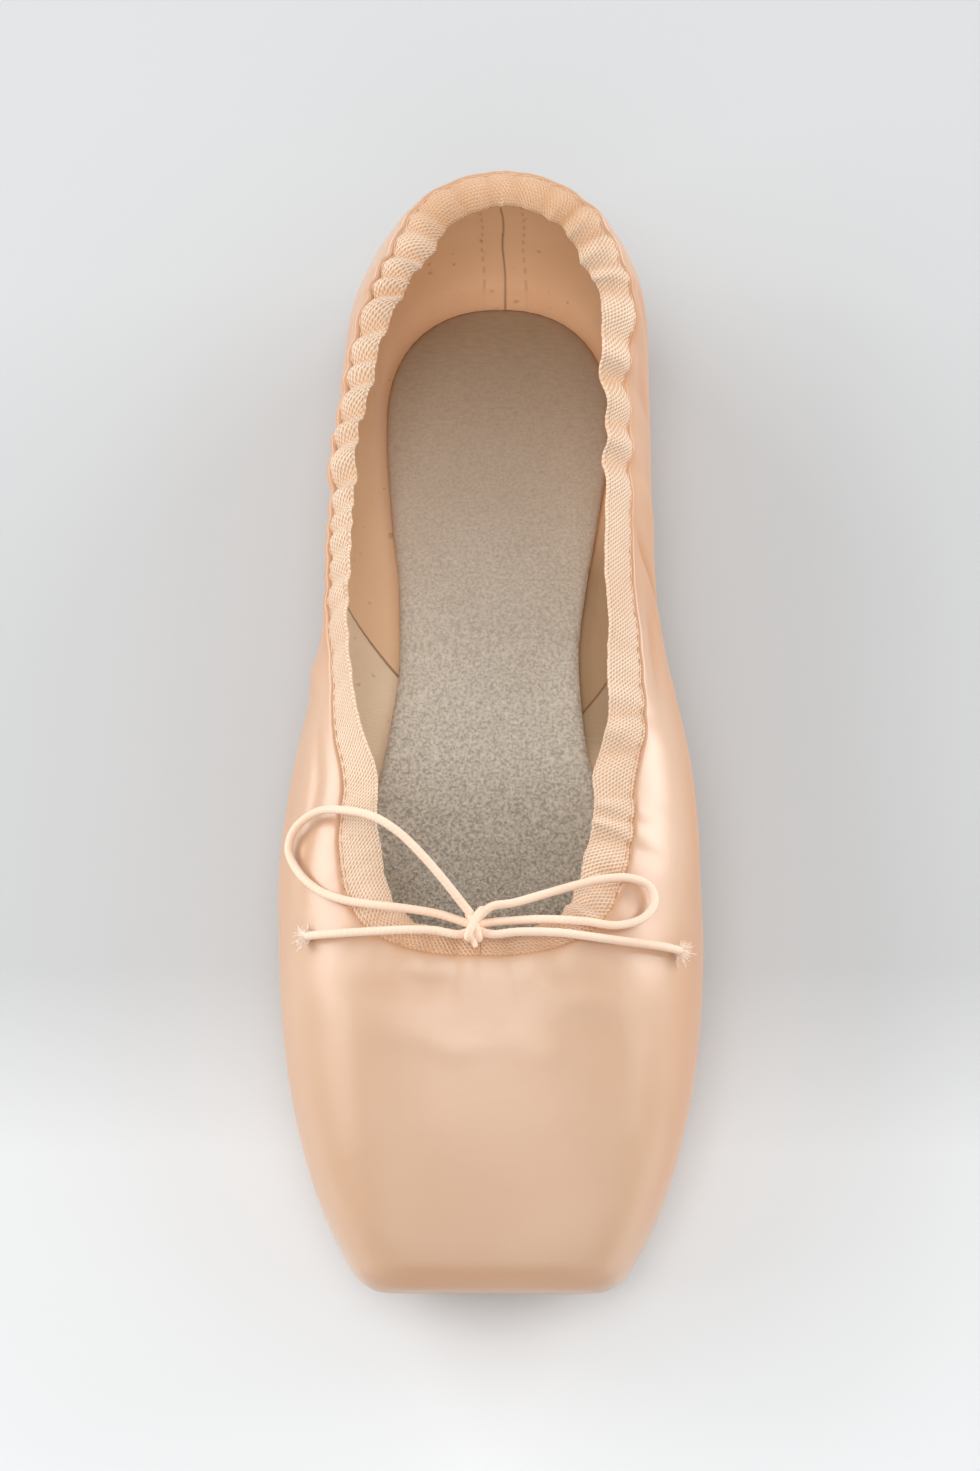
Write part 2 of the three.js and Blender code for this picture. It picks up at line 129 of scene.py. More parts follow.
# Drawstring bow: points of each strand as x, s, z, from the knot outwards
BOW = {
    "drawstring_loop_left": [
        [-4.9, 70.4, 55.6], [-8.0, 74.2, 56.6], [-12.6, 79.6, 57.3], [-17.6, 84.6, 57.5],
        [-22.4, 87.9, 57.0], [-28.8, 90.5, 53.8], [-34.9, 92.0, 47.9], [-39.4, 89.6, 44.1],
        [-40.5, 85.9, 43.1], [-37.8, 79.5, 46.6], [-33.7, 75.3, 49.0], [-28.9, 72.6, 51.6],
        [-22.3, 70.9, 53.4], [-15.7, 70.0, 53.8], [-9.8, 68.9, 53.9], [-5.9, 67.6, 54.0],
    ],
    "drawstring_end_left": [
        [-5.6, 64.4, 54.9], [-10.5, 65.3, 54.7], [-16.3, 65.5, 54.4], [-22.2, 65.5, 53.5],
        [-28.2, 65.6, 52.0], [-33.8, 66.0, 49.4], [-36.6, 66.3, 47.2],
    ],
    "drawstring_loop_right": [
        [0.7, 70.0, 55.1], [5.0, 70.9, 54.7], [11.0, 72.9, 54.0], [18.9, 75.4, 53.4],
        [24.2, 76.7, 52.6], [28.4, 77.0, 51.3], [31.7, 76.0, 49.6], [32.8, 73.2, 48.9],
        [30.8, 69.5, 49.8], [25.6, 67.2, 51.8], [18.8, 67.5, 53.5], [11.0, 67.9, 53.6],
        [5.2, 67.7, 53.4], [0.8, 67.2, 53.8],
    ],
    "drawstring_end_right": [
        [0.6, 64.4, 55.0], [6.0, 64.9, 54.9], [13.6, 65.0, 54.2], [19.0, 64.6, 53.3],
        [24.2, 64.2, 52.1], [29.6, 64.0, 50.2], [34.8, 64.4, 46.4], [38.2, 64.6, 42.8],
    ],
}

# Camera of the photograph: its angles are in radians, the pitch from straight down
CAMERA = {"x": 21.4, "s": -146.5, "z": 748.2, "pitch": 0.349, "turn": -0.0288, "roll": -0.002}
FOCAL_PIXELS = 3701.0
IMAGE_HEIGHT = 1471.0
SENSOR = 36.0


def make_camera():
    """Camera at the photograph's place, turned a little so that the one shoe is in the middle."""
    data = bpy.data.cameras.new("camera")
    data.sensor_width = SENSOR
    data.lens = SENSOR * FOCAL_PIXELS / IMAGE_HEIGHT
    camera = bpy.data.objects.new("camera", data)
    bpy.context.collection.objects.link(camera)
    spot = Vector((CAMERA["x"], CAMERA["s"] - LENGTH / 2, CAMERA["z"])) * MM
    turned = Euler((CAMERA["pitch"], -CAMERA["turn"], CAMERA["roll"]), "ZYX").to_matrix()
    camera.matrix_world = Matrix.Translation(spot) @ turned.to_4x4()
    bpy.context.scene.camera = camera


make_camera()


# Curves and the last

CURVE_STEP = 0.2
FARTHEST = 300.0
HALVINGS = 36


def column_curve(table, name):
    """Monotone cubic curve through one column of a table, level beyond both ends."""
    rows = np.array(table["rows"], float)
    xs = rows[:, 0]
    ys = rows[:, table["columns"].index(name)]
    widths = np.diff(xs)
    rises = np.diff(ys) / widths
    slopes = np.r_[rises[0], np.zeros(len(xs) - 2), rises[-1]]
    for i in range(1, len(xs) - 1):
        if rises[i - 1] * rises[i] > 0:
            before = 2 * widths[i] + widths[i - 1]
            after = widths[i] + 2 * widths[i - 1]
            slopes[i] = (before + after) / (before / rises[i - 1] + after / rises[i])
    held = np.clip(np.arange(xs[0], xs[-1] + CURVE_STEP / 2, CURVE_STEP), xs[0], xs[-1])
    i = np.clip(np.searchsorted(xs, held, side="right") - 1, 0, len(xs) - 2)
    t = (held - xs[i]) / widths[i]
    r = 1 - t
    level = r * r * (1 + 2 * t) * ys[i] + t * t * (3 - 2 * t) * ys[i + 1]
    values = level + t * r * widths[i] * (r * slopes[i] - t * slopes[i + 1])
    return lambda x: np.interp(x, held, values)


last = {name: column_curve(SECTIONS, name) for name in SECTIONS["columns"][1:]}
collar_height = column_curve(COLLAR, "z")
curl_left = column_curve(COLLAR, "left")
curl_right = column_curve(COLLAR, "right")
lap_wall = column_curve(WALL, "thick")


def smooth(value, low, high):
    """0 below low, 1 above high, smooth between."""
    t = np.clip((value - low) / (high - low), 0, 1)
    return t * t * (3 - 2 * t)


def unit_of(vectors):
    """The same directions with a length of 1."""
    return vectors / np.linalg.norm(vectors, axis=-1, keepdims=True)


def lengths_along(line):
    """Distance of each point of a line from its start, along the line."""
    return np.concatenate([[0], np.cumsum(np.linalg.norm(np.diff(line, axis=0), axis=1))])


def points_at(at, along, line):
    """Points of a line at given distances along it."""
    return np.stack([np.interp(at, along, line[:, i]) for i in range(line.shape[1])], -1)


def inside_last(x, s, z):
    """True inside the closed form of the last, whose toe platform leans back below its top."""
    front = s - PLATFORM_TILT * np.maximum(PLATFORM_HIGH - z, 0)
    rim = np.clip(front, 0, PLATFORM_EDGE) - PLATFORM_EDGE
    inset = PLATFORM_EDGE - np.sqrt(PLATFORM_EDGE**2 - rim**2)
    half = last["half"](s) - inset
    floor = last["floor"](s) + inset
    crown = last["crown"](s) - inset
    wide = last["wide"](s)
    above = z >= wide
    t = np.where(above, (z - wide) / (crown - wide), (wide - z) / (wide - floor))
    power = np.where(above, last["up"](s), last["low"](s))
    level = np.where(above, 0, last["flat"](s))
    share = level + (1 - level) * np.maximum(1 - t**power, 0) ** (1 / power)
    side = np.abs(x) / half
    back = np.maximum(s - HEEL_AXIS, 0) / (LENGTH - HEEL_AXIS)
    return (front >= 0) & (t < 1) & (side**HEEL_ROUND + back**HEEL_ROUND < share**HEEL_ROUND)


def reach(is_inside, shape):
    """Largest distance along each ray that is still inside."""
    near = np.zeros(shape)
    far = np.full(shape, FARTHEST)
    for _ in range(HALVINGS):
        middle = (near + far) / 2
        hit = is_inside(middle)
        near = np.where(hit, middle, near)
        far = np.where(hit, far, middle)
    return near


def place(x, s, z):
    """A point of the shoe in the part's frame, in millimetres, with the soft rear's sideways lean."""
    wide = last["wide"](s)
    lean = last["lean"](s) * smooth(z, wide, wide + LEAN_HEIGHT)
    return np.stack([x + lean, s - LENGTH / 2, z], -1)


def flat_widths(piece, s, inset=0.0):
    """Widths of a flat piece, left and right, with rounded ends and less an inset all round."""
    ahead = np.maximum(piece["front"] + piece["front_round"] - s, 0) / (piece["front_round"] - inset)
    behind = np.maximum(s - piece["back"] + piece["back_round"], 0) / (piece["back_round"] - inset)
    end = np.minimum(np.maximum(ahead, behind), 1)
    share = (1 - end**SOLE_ROUND) ** (1 / SOLE_ROUND)
    return [(column_curve(piece, side)(s) - inset) * share for side in ("left", "right")]


# Grid of the upper

# Stations as in the part's source, made finer. Fans are in degrees.
TOE_FAN = [0, 5, 9, 12, 14.5, 17, 20, 24, 29, 35, 42, 50, 58, 66, 74, 82]
STRAIGHT_STEPS = 13
HEEL_STEPS = 10
FINER = 6
CLIMB = 116
RAYS = 241
RAY_FAN = (-150, 165)
RAY_START = 0.55
BEND_WEIGHT = 7.0


def make_stations():
    """Upright half planes round the shoe, from the toe by +X: s of their axis and the turn about it."""
    straight = np.arange(STRAIGHT_STEPS)
    heel = np.arange(HEEL_STEPS + 1)
    axis = np.concatenate([
        np.full(len(TOE_FAN), THROAT_AXIS),
        THROAT_AXIS + (HEEL_AXIS - THROAT_AXIS) * straight / STRAIGHT_STEPS,
        np.full(len(heel), HEEL_AXIS),
    ])
    quarter = math.pi / 2
    turn = np.concatenate([np.radians(TOE_FAN), straight * 0 + quarter, quarter * (1 + heel / HEEL_STEPS)])
    at = np.linspace(0, len(axis) - 1, (len(axis) - 1) * FINER + 1)
    axis = np.interp(at, np.arange(len(axis)), axis)
    turn = np.interp(at, np.arange(len(turn)), turn)
    return np.append(axis, axis[-2:0:-1]), np.append(turn, 2 * math.pi - turn[-2:0:-1])


def respace(line, steps):
    """Points spaced along a line by length plus bend, so that they gather where it turns."""
    step = np.diff(line, axis=0)
    length = np.linalg.norm(step, axis=1)
    unit = step / np.maximum(length, 1e-9)[:, None]
    bend = np.zeros(len(step))
    bend[:-1] = np.arccos(np.clip((unit[1:] * unit[:-1]).sum(1), -1, 1))
    along = np.concatenate([[0], np.cumsum(length + BEND_WEIGHT * bend)])
    at = np.linspace(0, along[-1], steps + 1)
    return points_at(at, along, line)


def upper_grid():
    """Outside of the upper, stations by climb steps, from the lap under the sole to the satin edge."""
    axis, turn = make_stations()
    sideways = np.sin(turn)
    along = -np.cos(turn)
    outline = reach(
        lambda rho: inside_last(rho * sideways, axis + rho * along, last["wide"](axis + rho * along)),
        axis.shape,
    )

    def over_lap(rho):
        s = axis + rho * along
        left, right = flat_widths(OUTSOLE, s, LAP)
        return np.abs(rho * sideways) < np.where(sideways < 0, left, right)

    lap_edge = reach(over_lap, axis.shape)
    rho0 = (RAY_START * outline)[:, None]
    z0 = last["wide"](axis + rho0[:, 0] * along)[:, None]
    angle = np.radians(np.linspace(*RAY_FAN, RAYS))[None]

    def ray_inside(m):
        rho = rho0 + m * np.cos(angle)
        s = axis[:, None] + rho * along[:, None]
        return inside_last(rho * sideways[:, None], s, z0 + m * np.sin(angle))

    hit = reach(ray_inside, (len(axis), RAYS))
    rho = rho0 + hit * np.cos(angle)
    z = z0 + hit * np.sin(angle)
    s = axis[:, None] + rho * along[:, None]
    over = z - collar_height(s)
    grid = np.zeros((len(axis), CLIMB + 1, 3))
    for i in range(len(axis)):
        first = np.argmax((rho[i] > lap_edge[i]) & (z[i] < z0[i]))
        stop = np.argmax((z[i] > z0[i]) & (over[i] > 0))
        ends = slice(stop - 1, stop + 1)
        rim_rho = np.interp(0, over[i, ends], rho[i, ends])
        rim_z = np.interp(0, over[i, ends], z[i, ends])
        line_rho = np.r_[lap_edge[i], rho[i, first:stop], rim_rho]
        line_z = np.r_[z[i, first], z[i, first:stop], rim_z]
        grid[i] = respace(place(line_rho * sideways[i], axis[i] + line_rho * along[i], line_z), CLIMB)
    return grid


def grid_normals(grid):
    """Outward normals of a grid that closes on itself in its first direction."""
    around = np.roll(grid, -1, axis=0) - np.roll(grid, 1, axis=0)
    climb = np.gradient(grid, axis=1)
    normal = np.cross(around, climb)
    return normal / np.maximum(np.linalg.norm(normal, axis=-1, keepdims=True), 1e-9)


# Meshes

# A direction that no tube starts in
ASKEW = [0.3, 0.5, 0.81]
SPLINE_STEPS = 24


def add_mesh(name, points, faces):
    """New smooth mesh object from points in millimetres, riding on the part's body."""
    mesh = bpy.data.meshes.new(name)
    mesh.from_pydata((points.reshape(-1, 3) * MM).tolist(), [], faces)
    mesh.polygons.foreach_set("use_smooth", [True] * len(mesh.polygons))
    mesh.update()
    piece = bpy.data.objects.new(name, mesh)
    bpy.context.collection.objects.link(piece)
    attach(piece, "root")
    return piece


def grid_faces(rows, columns, close_rows=False, close_columns=False, start=0):
    """Four-sided faces of a grid of points."""
    i = np.arange(rows if close_rows else rows - 1)[:, None]
    k = np.arange(columns if close_columns else columns - 1)[None]
    a = i * columns + k
    b = (i + 1) % rows * columns + k
    c = (i + 1) % rows * columns + (k + 1) % columns
    d = i * columns + (k + 1) % columns
    return (np.stack([a, b, c, d], -1).reshape(-1, 4) + start).tolist()


def set_uv(piece, along, across):
    """UV map from the place of each vertex along and across the cloth."""
    mesh = piece.data
    layer = mesh.uv_layers.new(name="cloth")
    index = np.zeros(len(mesh.loops), int)
    mesh.loops.foreach_get("vertex_index", index)
    uv = np.stack(np.broadcast_arrays(along, across), -1).reshape(-1, 2) * MM
    layer.data.foreach_set("uv", uv[index].astype(np.float32).ravel())


def set_shade(piece, name, values):
    """One number for each vertex, which a material reads by name."""
    attribute = piece.data.attributes.new(name, "FLOAT", "POINT")
    attribute.data.foreach_set("value", np.asarray(values, np.float32).ravel())


def tube(path, radius, sides):
    """Points, faces and UV of a closed round tube, with one radius or one for each point of its path."""
    path = np.asarray(path, float)
    tangent = unit_of(np.gradient(path, axis=0))
    normal = np.zeros_like(path)
    normal[0] = unit_of(np.cross(tangent[0], ASKEW))
    for i in range(1, len(path)):
        normal[i] = unit_of(normal[i - 1] - tangent[i] * (normal[i - 1] @ tangent[i]))
    other = np.cross(tangent, normal)
    angle = 2 * math.pi * np.arange(sides) / sides
    radius = np.broadcast_to(np.asarray(radius, float), (len(path),))
    ring = np.cos(angle)[None, :, None] * normal[:, None] + np.sin(angle)[None, :, None] * other[:, None]
    points = path[:, None] + ring * radius[:, None, None]
    faces = [face[::-1] for face in grid_faces(len(path), sides, close_columns=True)]
    faces.append(list(range(sides)))
    faces.append(list(range((len(path) - 1) * sides, len(path) * sides))[::-1])
    uv = np.stack(np.broadcast_arrays(lengths_along(path)[:, None], (angle / (2 * math.pi))[None]), -1)
    return points.reshape(-1, 3), faces, uv.reshape(-1, 2)


def add_tubes(name, tubes, around=1):
    """One mesh object from several tubes; around is the UV distance once round them."""
    points, faces, uv = [], [], []
    start = 0
    for tube_points, tube_faces, tube_uv in tubes:
        points.append(tube_points)
        faces.extend([[index + start for index in face] for face in tube_faces])
        uv.append(tube_uv)
        start += len(tube_points)
    piece = add_mesh(name, np.concatenate(points), faces)
    along, across = np.concatenate(uv).T
    set_uv(piece, along, across * around)
    return piece


def smooth_line(points, step):
    """Centripetal spline through points given as x, s, z, with about even steps, and its length."""
    given = np.array(points, float) - [0, LENGTH / 2, 0]
    ends = np.concatenate([[2 * given[0] - given[1]], given, [2 * given[-1] - given[-2]]])
    pieces = []
    for i in range(1, len(ends) - 2):
        p0, p1, p2, p3 = ends[i - 1:i + 3]
        d0, d1, d2 = np.sqrt(np.linalg.norm(np.diff(ends[i - 1:i + 3], axis=0), axis=1))
        m1 = (p1 - p0) / d0 - (p2 - p0) / (d0 + d1) + (p2 - p1) / d1
        m2 = (p2 - p1) / d1 - (p3 - p1) / (d1 + d2) + (p3 - p2) / d2
        t = np.linspace(0, 1, SPLINE_STEPS, endpoint=False)[:, None]
        piece = (1 + 2 * t) * (1 - t) ** 2 * p1 + t * t * (3 - 2 * t) * p2
        pieces.append(piece + t * (1 - t) ** 2 * m1 * d1 - t * t * (1 - t) * m2 * d1)
    line = np.concatenate(pieces + [given[-1:]])
    along = lengths_along(line)
    at = np.linspace(0, along[-1], int(along[-1] / step) + 1)
    return points_at(at, along, line), along[-1]


# Drawstring

CORD_SIDES = 14
CORD_STEP = 0.6
CORD_AROUND = 6.0

# Fibres of a frayed end, with their radius at root and tip
FRAY = {
    "fibres": 240, "points": 6, "sides": 5, "sunk": 0.6, "spread": 0.34, "short": 0.7, "long": 1.8,
    "flare": 0.55, "bend": 0.38, "root": 0.1, "tip": 0.07,
}

# Knot, tipped by degrees: turns as offset to the right, slant, half length and rise, and the strand under
# them with its ends as right, along and above
KNOT_MIDDLE = [-2.5, 66.2, 54.9]
KNOT_TIP = -24
KNOT_HIGH = 1.3
KNOT_ARC = (-0.2, 1.2)
KNOT_TURNS = [(0.1, 1.35, 3.4, 0.55), (-0.2, -0.95, 2.9, -0.3)]
KNOT_STEPS = 44
STRAND_ENDS = [(-0.6, -2.6, 0.2), (0.3, -4.8, -0.9)]
STRAND_RADII = (0.8, 0.45)
STRAND_STEPS = 24

# Where each strand goes into the knot, as x, s, z: at its start, and for a loop at its end too
INTO_KNOT = {
    "drawstring_loop_left": ([-2.4, 67.4, 55.0], [-2.8, 66.4, 54.2]),
    "drawstring_end_left": ([-2.8, 65.4, 54.7],),
    "drawstring_loop_right": ([-2.2, 67.6, 54.8], [-2.0, 66.6, 54.2]),
    "drawstring_end_right": ([-2.2, 65.4, 54.8],),
}


def make_drawstring():
    """Two loops, two ends with frayed tips, and the knot between them."""
    random = np.random.default_rng(5)
    knot = make_knot()
    made = [knot]
    for name, points in BOW.items():
        start, *end = INTO_KNOT[name]
        path, length = smooth_line([start, *points, *end], CORD_STEP)
        is_end = "end" in name
        cord = add_tubes(name + "_cord", [tube(path, CORD / 2, CORD_SIDES)], CORD_AROUND)
        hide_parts(name)
        going = [make_fray(name + "_fray", path, random)] if is_end else []
        made += going
        if name == "drawstring_loop_left":
            going = [knot]
        made.append(cord)
    return made


def make_fray(name, path, random):
    """Tuft of loose fibres at a cut end of the cord."""
    tip = path[-1]
    ahead = unit_of(path[-1] - path[-4])
    t = np.linspace(0, 1, FRAY["points"])[:, None]
    radii = np.linspace(FRAY["root"], FRAY["tip"], FRAY["points"])
    fibres = []
    for _ in range(FRAY["fibres"]):
        spread = random.normal(0, 1, 3)
        spread -= ahead * (spread @ ahead)
        root = tip - ahead * FRAY["sunk"] + spread * FRAY["spread"]
        length = random.uniform(FRAY["short"], FRAY["long"])
        bend = random.normal(0, FRAY["bend"], 3)
        fibre = root + ahead * t * length + spread * t * FRAY["flare"] + bend * t * t
        fibres.append(tube(fibre, radii, FRAY["sides"]))
    return add_tubes(name, fibres)


def make_knot():
    """The bow's knot: two turns of cord that cross on top, and the strand that they close on."""
    middle = np.array(KNOT_MIDDLE) - [0, LENGTH / 2, 0]
    tip = math.radians(KNOT_TIP)
    across = np.array([1.0, 0, 0])
    along = np.array([0, math.cos(tip), math.sin(tip)])
    above = np.array([0, -math.sin(tip), math.cos(tip)])
    turn = np.linspace(*KNOT_ARC, KNOT_STEPS)[:, None] * math.pi
    parts = []
    for offset, slant, half, rise in KNOT_TURNS:
        path = middle + across * (offset + slant * np.cos(turn))
        path = path + along * np.cos(turn) * half + above * (np.sin(turn) * KNOT_HIGH + rise)
        parts.append(tube(path, CORD / 2, CORD_SIDES))
    strand = middle + np.linspace(*STRAND_ENDS, STRAND_STEPS) @ np.array([across, along, above])
    parts.append(tube(strand, np.linspace(*STRAND_RADII, STRAND_STEPS), CORD_SIDES))
    knot = add_tubes("bow_knot", parts, CORD_AROUND)
    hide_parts("drawstring_knot")
    return knot


cords = make_drawstring()


# Satin, lining and tape

grid = upper_grid()
normals = grid_normals(grid)
STATIONS = len(grid)

# Soft folds of the satin, as lines on a side (points are s, z) or on the top (points are x, s). Width and
# height are in millimetres, and a trough has a height below zero.
FOLDS = [
    ("left", [(74, 44), (88, 44.4), (100, 43), (110, 41.2), (120, 38.5)], 2.0, -0.5),
    ("left", [(70, 38), (90, 33), (112, 28), (128, 26)], 5.5, 1.2),
    ("left", [(118, 40), (126, 35), (130, 28), (131, 20)], 3.6, 1.0),
    ("left", [(144, 38), (141, 32), (139, 25), (137, 17)], 2.6, -1.15),
    ("left", [(160, 34), (156, 27), (151, 20)], 4.5, 0.7),
    ("left", [(206, 42), (202, 34), (197, 26)], 3.4, -0.7),
    ("left", [(190, 38), (186, 31), (183, 24)], 3.2, -0.5),
    ("right", [(118, 38), (128, 36), (138, 33), (146, 29)], 3.0, -0.9),
    ("right", [(74, 38), (92, 34), (114, 30), (132, 28)], 5.5, 1.1),
    ("right", [(161, 38.5), (156, 34), (150, 28), (144, 20)], 1.7, -1.15),
    ("right", [(172, 36), (167, 30), (160, 24)], 3.6, 0.9),
    ("right", [(151, 37), (145, 31), (138, 25)], 3.0, 0.9),
    ("right", [(196, 41), (191, 34), (187, 26)], 3.2, -0.6),
    ("right", [(212, 45), (208, 38), (203, 30)], 3.4, -0.7),
    ("top", [(-29.5, 62), (-28, 50), (-26, 35), (-23.5, 19), (-20.5, 4)], 5.0, 0.35),
    ("top", [(30, 62), (29.3, 41), (27.5, 19), (25.0, 4)], 5.0, 0.3),
    ("top", [(-31, 58), (-22, 54.5), (-11, 53), (-2, 52.5)], 4.0, -0.45),
    ("top", [(-29, 50), (-19, 47), (-8, 46)], 4.6, 0.32),
    ("top", [(5, 53.5), (16, 55), (28, 58)], 4.0, -0.4),
    ("top", [(3, 47), (9, 43), (16, 41)], 4.4, 0.3),
    ("top", [(18, 52), (24, 44), (27, 34)], 3.6, -0.25),
    ("top", [(10, 56.5), (16, 53), (25, 52)], 2.6, 0.3),
    ("top", [(-17, 57.5), (-11, 55), (-4, 55.5)], 2.4, -0.25),
    ("top", [(-13, 45), (-6, 42.5), (2, 43.5)], 2.8, 0.22),
    ("top", [(13, 49), (18, 44), (20, 38)], 2.6, -0.2),
]
FOLD_STEPS = 4
FOLD_END = 0.04
FOLD_FADE = 0.7


def on_side(side, s, z):
    """Points on the outside of the last at a height, left or right."""
    sign = -1 if side == "left" else 1
    x = reach(lambda m: inside_last(m, s, z), s.shape)
    return place(sign * x, s, z)


def on_top(x, s):
    """Points on top of the last."""
    wide = last["wide"](s)
    z = wide + reach(lambda m: inside_last(x, s, wide + m), s.shape)
    return place(x, s, z)


def line_distance(points, line):
    """Distance of each point from a line, and how far along it the nearest place is, from 0 to 1."""
    start = lengths_along(line)
    best = np.full(len(points), 1e9)
    share = np.zeros(len(points))
    for i in range(len(line) - 1):
        step = line[i + 1] - line[i]
        t = np.clip(((points - line[i]) @ step) / (step @ step), 0, 1)
        away = np.linalg.norm(points - line[i] - t[:, None] * step, axis=1)
        nearer = away < best
        best = np.where(nearer, away, best)
        share = np.where(nearer, (start[i] + t * (start[i + 1] - start[i])) / start[-1], share)
    return best, share


def fold_height(points):
    """Height of the satin's folds at each point. They fade out at both ends."""
    height = np.zeros(len(points))
    for kind, line, width, rise in FOLDS:
        given = np.array(line, float)
        at = np.linspace(0, len(given) - 1, FOLD_STEPS * len(given))
        a, b = points_at(at, np.arange(len(given)), given).T
        route = on_top(a, b) if kind == "top" else on_side(kind, a, b)
        away, share = line_distance(points, route)
        fade = np.sin(np.pi * np.clip(share, FOLD_END, 1 - FOLD_END)) ** FOLD_FADE
        height += rise * np.exp(-((away / width) ** 2)) * fade
    return height


# How strongly the drawstring gathers the tape, along the shoe
GATHER = {
    "columns": ["s", "left", "right"],
    "rows": [
        [50, 0.4, 0.4], [64, 0.34, 0.36], [75, 0.14, 0.5], [95, 0.14, 0.65], [115, 0.14, 0.55],
        [128, 0.25, 0.25], [142, 0.5, 0.2], [160, 0.7, 0.32], [172, 0.8, 0.8], [185, 0.95, 1.0],
        [205, 1.0, 1.0], [216, 1.1, 0.9], [225, 0.6, 0.6], [233, 0.3, 0.3], [238, 0.25, 0.25],
    ],
}

# Spacing of the gathers and sway of the edge between them
SPACING_RIGHT = 8.2
SPACING_LEFT = 7.0
LAST_ROOM = 9.0
SPACING_RANGE = (0.6, 1.4)
SIZE_RANGE = (0.5, 1.2)
END_SIZE = 0.9
SWAY_STEP = 5.5
SWAY_VARIES = 2
SWAY_BLUR = 9
LUMP_PUSH = 0.8
LUMP_MEAN = 0.6
SWAY_PUSH = 0.9

gather_left = column_curve(GATHER, "left")
gather_right = column_curve(GATHER, "right")


def collar_waves():
    """Place along the collar, phase and strength of the gathers, and their push on the edge."""
    edge = grid[:, -1]
    step = np.linalg.norm(np.roll(edge, -1, axis=0) - edge, axis=1)
    along = np.concatenate([[0], np.cumsum(step)[:-1]])
    total = step.sum()
    random = np.random.default_rng(11)
    knots = [0.0]
    while knots[-1] < total - LAST_ROOM:
        spacing = SPACING_RIGHT if knots[-1] < total / 2 else SPACING_LEFT
        knots.append(knots[-1] + spacing * random.uniform(*SPACING_RANGE))
    knots.append(total)
    count = len(knots) - 1
    phase = np.interp(along, knots, 2 * math.pi * np.arange(count + 1))
    size = np.interp(along, knots, np.append(random.uniform(*SIZE_RANGE, count), END_SIZE))
    s = edge[:, 1] + LENGTH / 2
    strength = np.where(edge[:, 0] < 0, gather_left(s), gather_right(s)) * size
    turns = np.arange(0, total, SWAY_STEP)
    turns = turns + random.uniform(-SWAY_VARIES, SWAY_VARIES, len(turns))
    sway = np.interp(along, turns, random.uniform(-1, 1, len(turns)), period=total)
    blur = np.hanning(SWAY_BLUR) / np.hanning(SWAY_BLUR).sum()
    sway = np.convolve(np.pad(sway, SWAY_BLUR // 2, "wrap"), blur, "valid")
    shift = strength * (LUMP_PUSH * (lump(phase) - LUMP_MEAN) + SWAY_PUSH * sway)
    return along, phase, strength, shift


def lump(phase):
    """Round lumps with a narrow soft valley between them, from 0 to 1."""
    floor = 0.06
    rise = np.sqrt(np.sin(phase / 2) ** 2 + floor) - math.sqrt(floor)
    return rise / (math.sqrt(1 + floor) - math.sqrt(floor))


collar_along, wave_phase, wave_strength, edge_shift = collar_waves()

# Pleats under the toe, back seam and rim
PLEAT_FAN = 62
PLEATS_PER_RADIAN = 15
PLEAT_WANDER = 0.6
PLEAT_DEPTH = 0.9
BACK_SEAM_X = 1.0
SEAM_HALF = 0.45
SEAM_DEPTH = 0.35
RIM_ROLL = 0.9
EDGE_FADE = 5.0

# How much each place darkens satin and tape. On the satin: painted shade in fold troughs, along its edge
# under the tape, on the toe platform and, with warm reflected light, on both flanks, and its own darker
# back seam line.
# On the tape: painted shade in its gather valleys, at its base by the satin, round the heel and, as the
# bow's shadow, at the throat.
SATIN_SEAM_AND_PAINTED_SHADE = {"trough": 0.32, "rim": 0.16, "platform": 0.3, "right": 0.34, "left": 0.2, "seam": 0.4}
TAPE_PAINTED_SHADE = {"valley": 0.6, "base": 0.3, "back": 0.75, "throat": 0.55}


def toe_pleats(points):
    """Depth of the pleats that gather the satin under the toe."""
    s = points[:, 1] + LENGTH / 2
    angle = np.arctan2(points[:, 0], PLEAT_FAN - s)
    pleat = np.abs(np.sin(angle * PLEATS_PER_RADIAN + PLEAT_WANDER * np.sin(angle * 7)))
    low = 1 - smooth(points[:, 2], 4.5, 11.0)
    front = 1 - smooth(s, 52, 66)
    return -PLEAT_DEPTH * (1 - pleat) ** 1.5 * low * front


